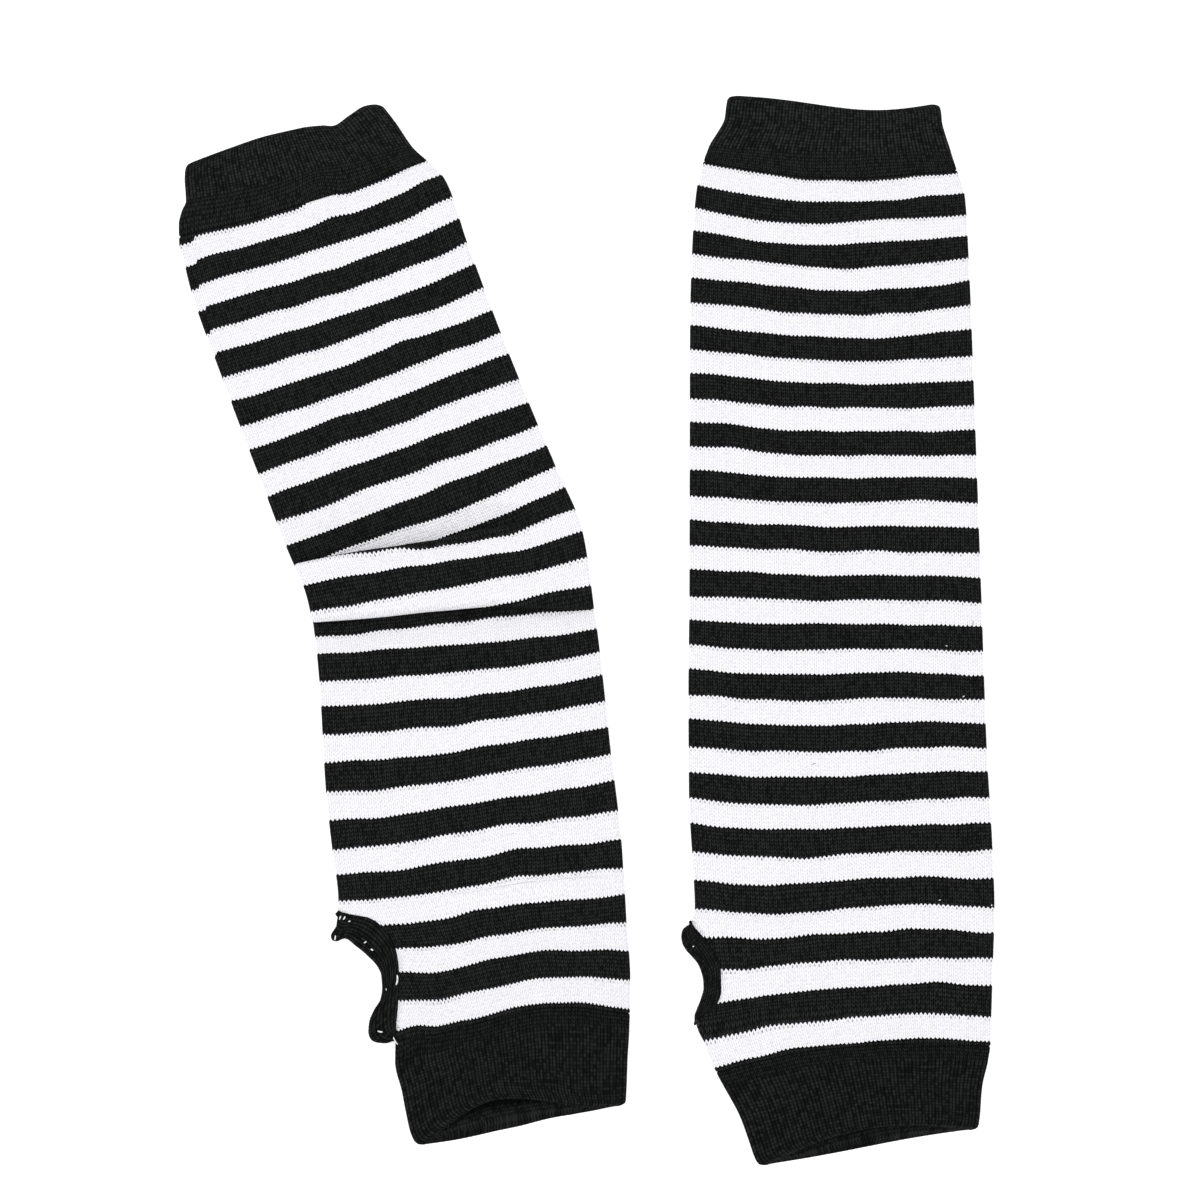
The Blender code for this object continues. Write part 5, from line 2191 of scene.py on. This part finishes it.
@dataclass
class LooseYarn:
    """Short ends of yarn that lie on an arm warmer, each a small tapered roll along a gentle arc.

    tip is the least that the taper's square leaves, and arc_middle keeps a bent roll about its place. bedded
    is how high its axis lies over the cloth, in flattened radii. drop_from is well above all cloth.
    """

    name: str
    wisps: tuple[Wisp, ...]
    sides: int = 6
    steps: int = 8
    flatness: float = 0.7
    tip: float = 0.06
    arc_middle: float = 0.33
    bedded: float = 0.6
    drop_from: float = 100 * MM

    def height(self, cloth: list[bpy.types.Object], x: float, y: float) -> float:
        """The height of the cloth under a place.

        Args:
            cloth: The pieces that the yarn may lie on.
            x: The place's x.
            y: Its y.

        Returns:
            The height of the topmost cloth there, or 0 beside the cloth.
        """
        above, down = Vector((x, y, self.drop_from)), Vector((0, 0, -1))
        hits = [piece.ray_cast(above, down) for piece in cloth]
        return max((place.z for hit, place, _, _ in hits if hit), default=0.0)

    def build(self, cloth: list[bpy.types.Object]) -> bpy.types.Object:
        """Builds the ends of yarn as one piece.

        Args:
            cloth: The pieces that they lie on.

        Returns:
            The new object, linked to the scene.
        """
        bm = bmesh.new()
        for wisp in self.wisps:
            rolled = self.roll(wisp, cloth)
            bm.from_mesh(rolled)
            bpy.data.meshes.remove(rolled)
        bmesh.ops.recalc_face_normals(bm, faces=bm.faces)
        for face in bm.faces:
            face.smooth = True
        mesh = bpy.data.meshes.new(self.name)
        bm.to_mesh(mesh)
        bm.free()
        return stand(self.name, mesh)

    def roll(self, wisp: Wisp, cloth: list[bpy.types.Object]) -> bpy.types.Mesh:
        """Rolls one end of yarn.

        Args:
            wisp: Its place and sizes.
            cloth: The pieces that it lies on.

        Returns:
            Its mesh, in place.
        """
        half, radius = wisp.length * MM / 2, wisp.thick * MM / 2
        bm = bmesh.new()
        bmesh.ops.create_cone(
            bm, cap_ends=True, segments=self.sides, radius1=radius, radius2=radius, depth=2 * half
        )
        sides = [edge for edge in bm.edges if edge.verts[0].co.z * edge.verts[1].co.z < 0]
        bmesh.ops.subdivide_edges(bm, edges=sides, cuts=self.steps - 1)
        turn, bend = math.radians(wisp.turn), math.radians(wisp.bend)
        for vert in bm.verts:
            along = vert.co.z / half
            taper = math.sqrt(max(1 - along**4, self.tip))
            ahead = along * half
            aside = vert.co.x * taper + bend * half * (along**2 - self.arc_middle) / 2
            x = wisp.x * MM + ahead * math.cos(turn) - aside * math.sin(turn)
            y = wisp.y * MM + ahead * math.sin(turn) + aside * math.cos(turn)
            vert.co = (x, y, vert.co.y * taper * self.flatness)
        under = [self.height(cloth, vert.co.x, vert.co.y) for vert in bm.verts]
        level = float(np.median(under))
        for vert, height in zip(bm.verts, under):
            held = max(min(height, level + radius), level - radius)
            vert.co.z += held + radius * self.flatness * self.bedded
        mesh = bpy.data.meshes.new("rolled_yarn")
        bm.to_mesh(mesh)
        bm.free()
        return mesh

    def dress(self, obj: bpy.types.Object, finish: bpy.types.Material, slot: Slot) -> None:
        """Gives the piece its finish.

        Args:
            obj: The built piece.
            finish: Its material.
            slot: Not used.
        """
        obj.data.materials.append(finish)
        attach(obj, BODY)


@dataclass
class Studio:
    """A pale, faintly lit floor, soft light from above, and a camera straight above the pair."""

    frame_side: float = 372 * MM
    centre: tuple[float, float] = (3.985 * MM, 9.8 * MM)
    lens: float = 135.0
    sensor: float = 36.0
    cloth_height: float = 2.4 * MM
    floor_side: float = 3.0
    floor_drop: float = 0.1 * MM
    floor_colour: Colour = (0.93, 0.93, 0.93, 1)
    floor_roughness: float = 0.9
    floor_glow: float = 0.4
    sky: float = 1.1
    lamp_power: float = 5.0
    lamp_side: float = 1.2
    lamp_place: tuple[float, float, float] = (-0.25, 0.35, 1.25)

    def build(self) -> None:
        """Builds the floor, the lights and the camera."""
        self.floor()
        self.lights()
        self.camera()

    def floor(self) -> None:
        """Lays the pale floor just below the cloth."""
        bm = bmesh.new()
        below = Matrix.Translation((0, 0, -self.floor_drop))
        bmesh.ops.create_grid(bm, x_segments=1, y_segments=1, size=self.floor_side / 2, matrix=below)
        mesh = bpy.data.meshes.new("pale_floor")
        bm.to_mesh(mesh)
        bm.free()
        material = bpy.data.materials.new("pale_floor")
        material.use_nodes = True
        shader = material.node_tree.nodes["Principled BSDF"]
        shader.inputs["Base Color"].default_value = self.floor_colour
        shader.inputs["Roughness"].default_value = self.floor_roughness
        shader.inputs["Emission Color"].default_value = WHITE
        shader.inputs["Emission Strength"].default_value = self.floor_glow
        mesh.materials.append(material)
        stand("pale_floor", mesh)

    def lights(self) -> None:
        """Sets the even white surroundings and the large lamp above."""
        world = bpy.data.worlds.new("white_room")
        world.use_nodes = True
        background = world.node_tree.nodes["Background"]
        background.inputs["Color"].default_value = WHITE
        background.inputs["Strength"].default_value = self.sky
        bpy.context.scene.world = world
        lamp = bpy.data.lights.new("soft_lamp", "AREA")
        lamp.energy = self.lamp_power
        lamp.size = self.lamp_side
        obj = stand("soft_lamp", lamp)
        obj.location = self.lamp_place
        obj.rotation_euler = (-Vector(self.lamp_place)).to_track_quat("-Z", "Y").to_euler()

    def camera(self) -> None:
        """Hangs the camera straight above, with its frame as wide as it is high."""
        data = bpy.data.cameras.new("camera")
        data.lens = self.lens
        data.sensor_width = self.sensor
        obj = stand("camera", data)
        distance = self.frame_side * self.lens / self.sensor
        obj.location = (*self.centre, distance + self.cloth_height)
        scene = bpy.context.scene
        scene.camera = obj
        scene.view_settings.view_transform = "Standard"


def main() -> None:
    """Builds the pair, piece by piece, and reports each one."""
    logging.basicConfig(level=logging.INFO, format="%(name)s: %(message)s")
    Studio().build()
    jersey = KnitFinish("striped_jersey").material()
    rib = KnitFinish("dark_rib", striped=False).material()
    hand_rib = KnitFinish("dark_hand_rib", dark=DARKER_YARN, striped=False).material()
    light_yarn = FibreFinish("light_yarn", LIGHT_END).material()
    dark_yarn = FibreFinish("dark_yarn", DARK_END).material()
    for design in (BENT, STRAIGHT):
        form = WarmerForm(design)
        pieces = [
            (BodyTube(form), jersey, Slot.JERSEY),
            (RibCuff(form, end=CuffEnd.ELBOW), rib, Slot.RIB),
            (RibCuff(form, end=CuffEnd.HAND), hand_rib, Slot.RIB),
            (ThumbBand(form), hand_rib, Slot.RIB),
        ]
        cloth = []
        for piece, finish, slot in pieces:
            obj = piece.build()
            piece.dress(obj, finish, slot)
            cloth.append(obj)
            LOG.info("%s: %d faces", obj.name, len(obj.data.polygons))
        ends = [
            (LooseYarn(f"{design.name}_light_yarn_ends", design.light_wisps), light_yarn),
            (LooseYarn(f"{design.name}_dark_yarn_ends", design.dark_wisps), dark_yarn),
        ]
        for piece, finish in ends:
            obj = piece.build(cloth)
            piece.dress(obj, finish, Slot.JERSEY)
            LOG.info("%s: %d faces", obj.name, len(obj.data.polygons))


if __name__ == "__main__":
    main()
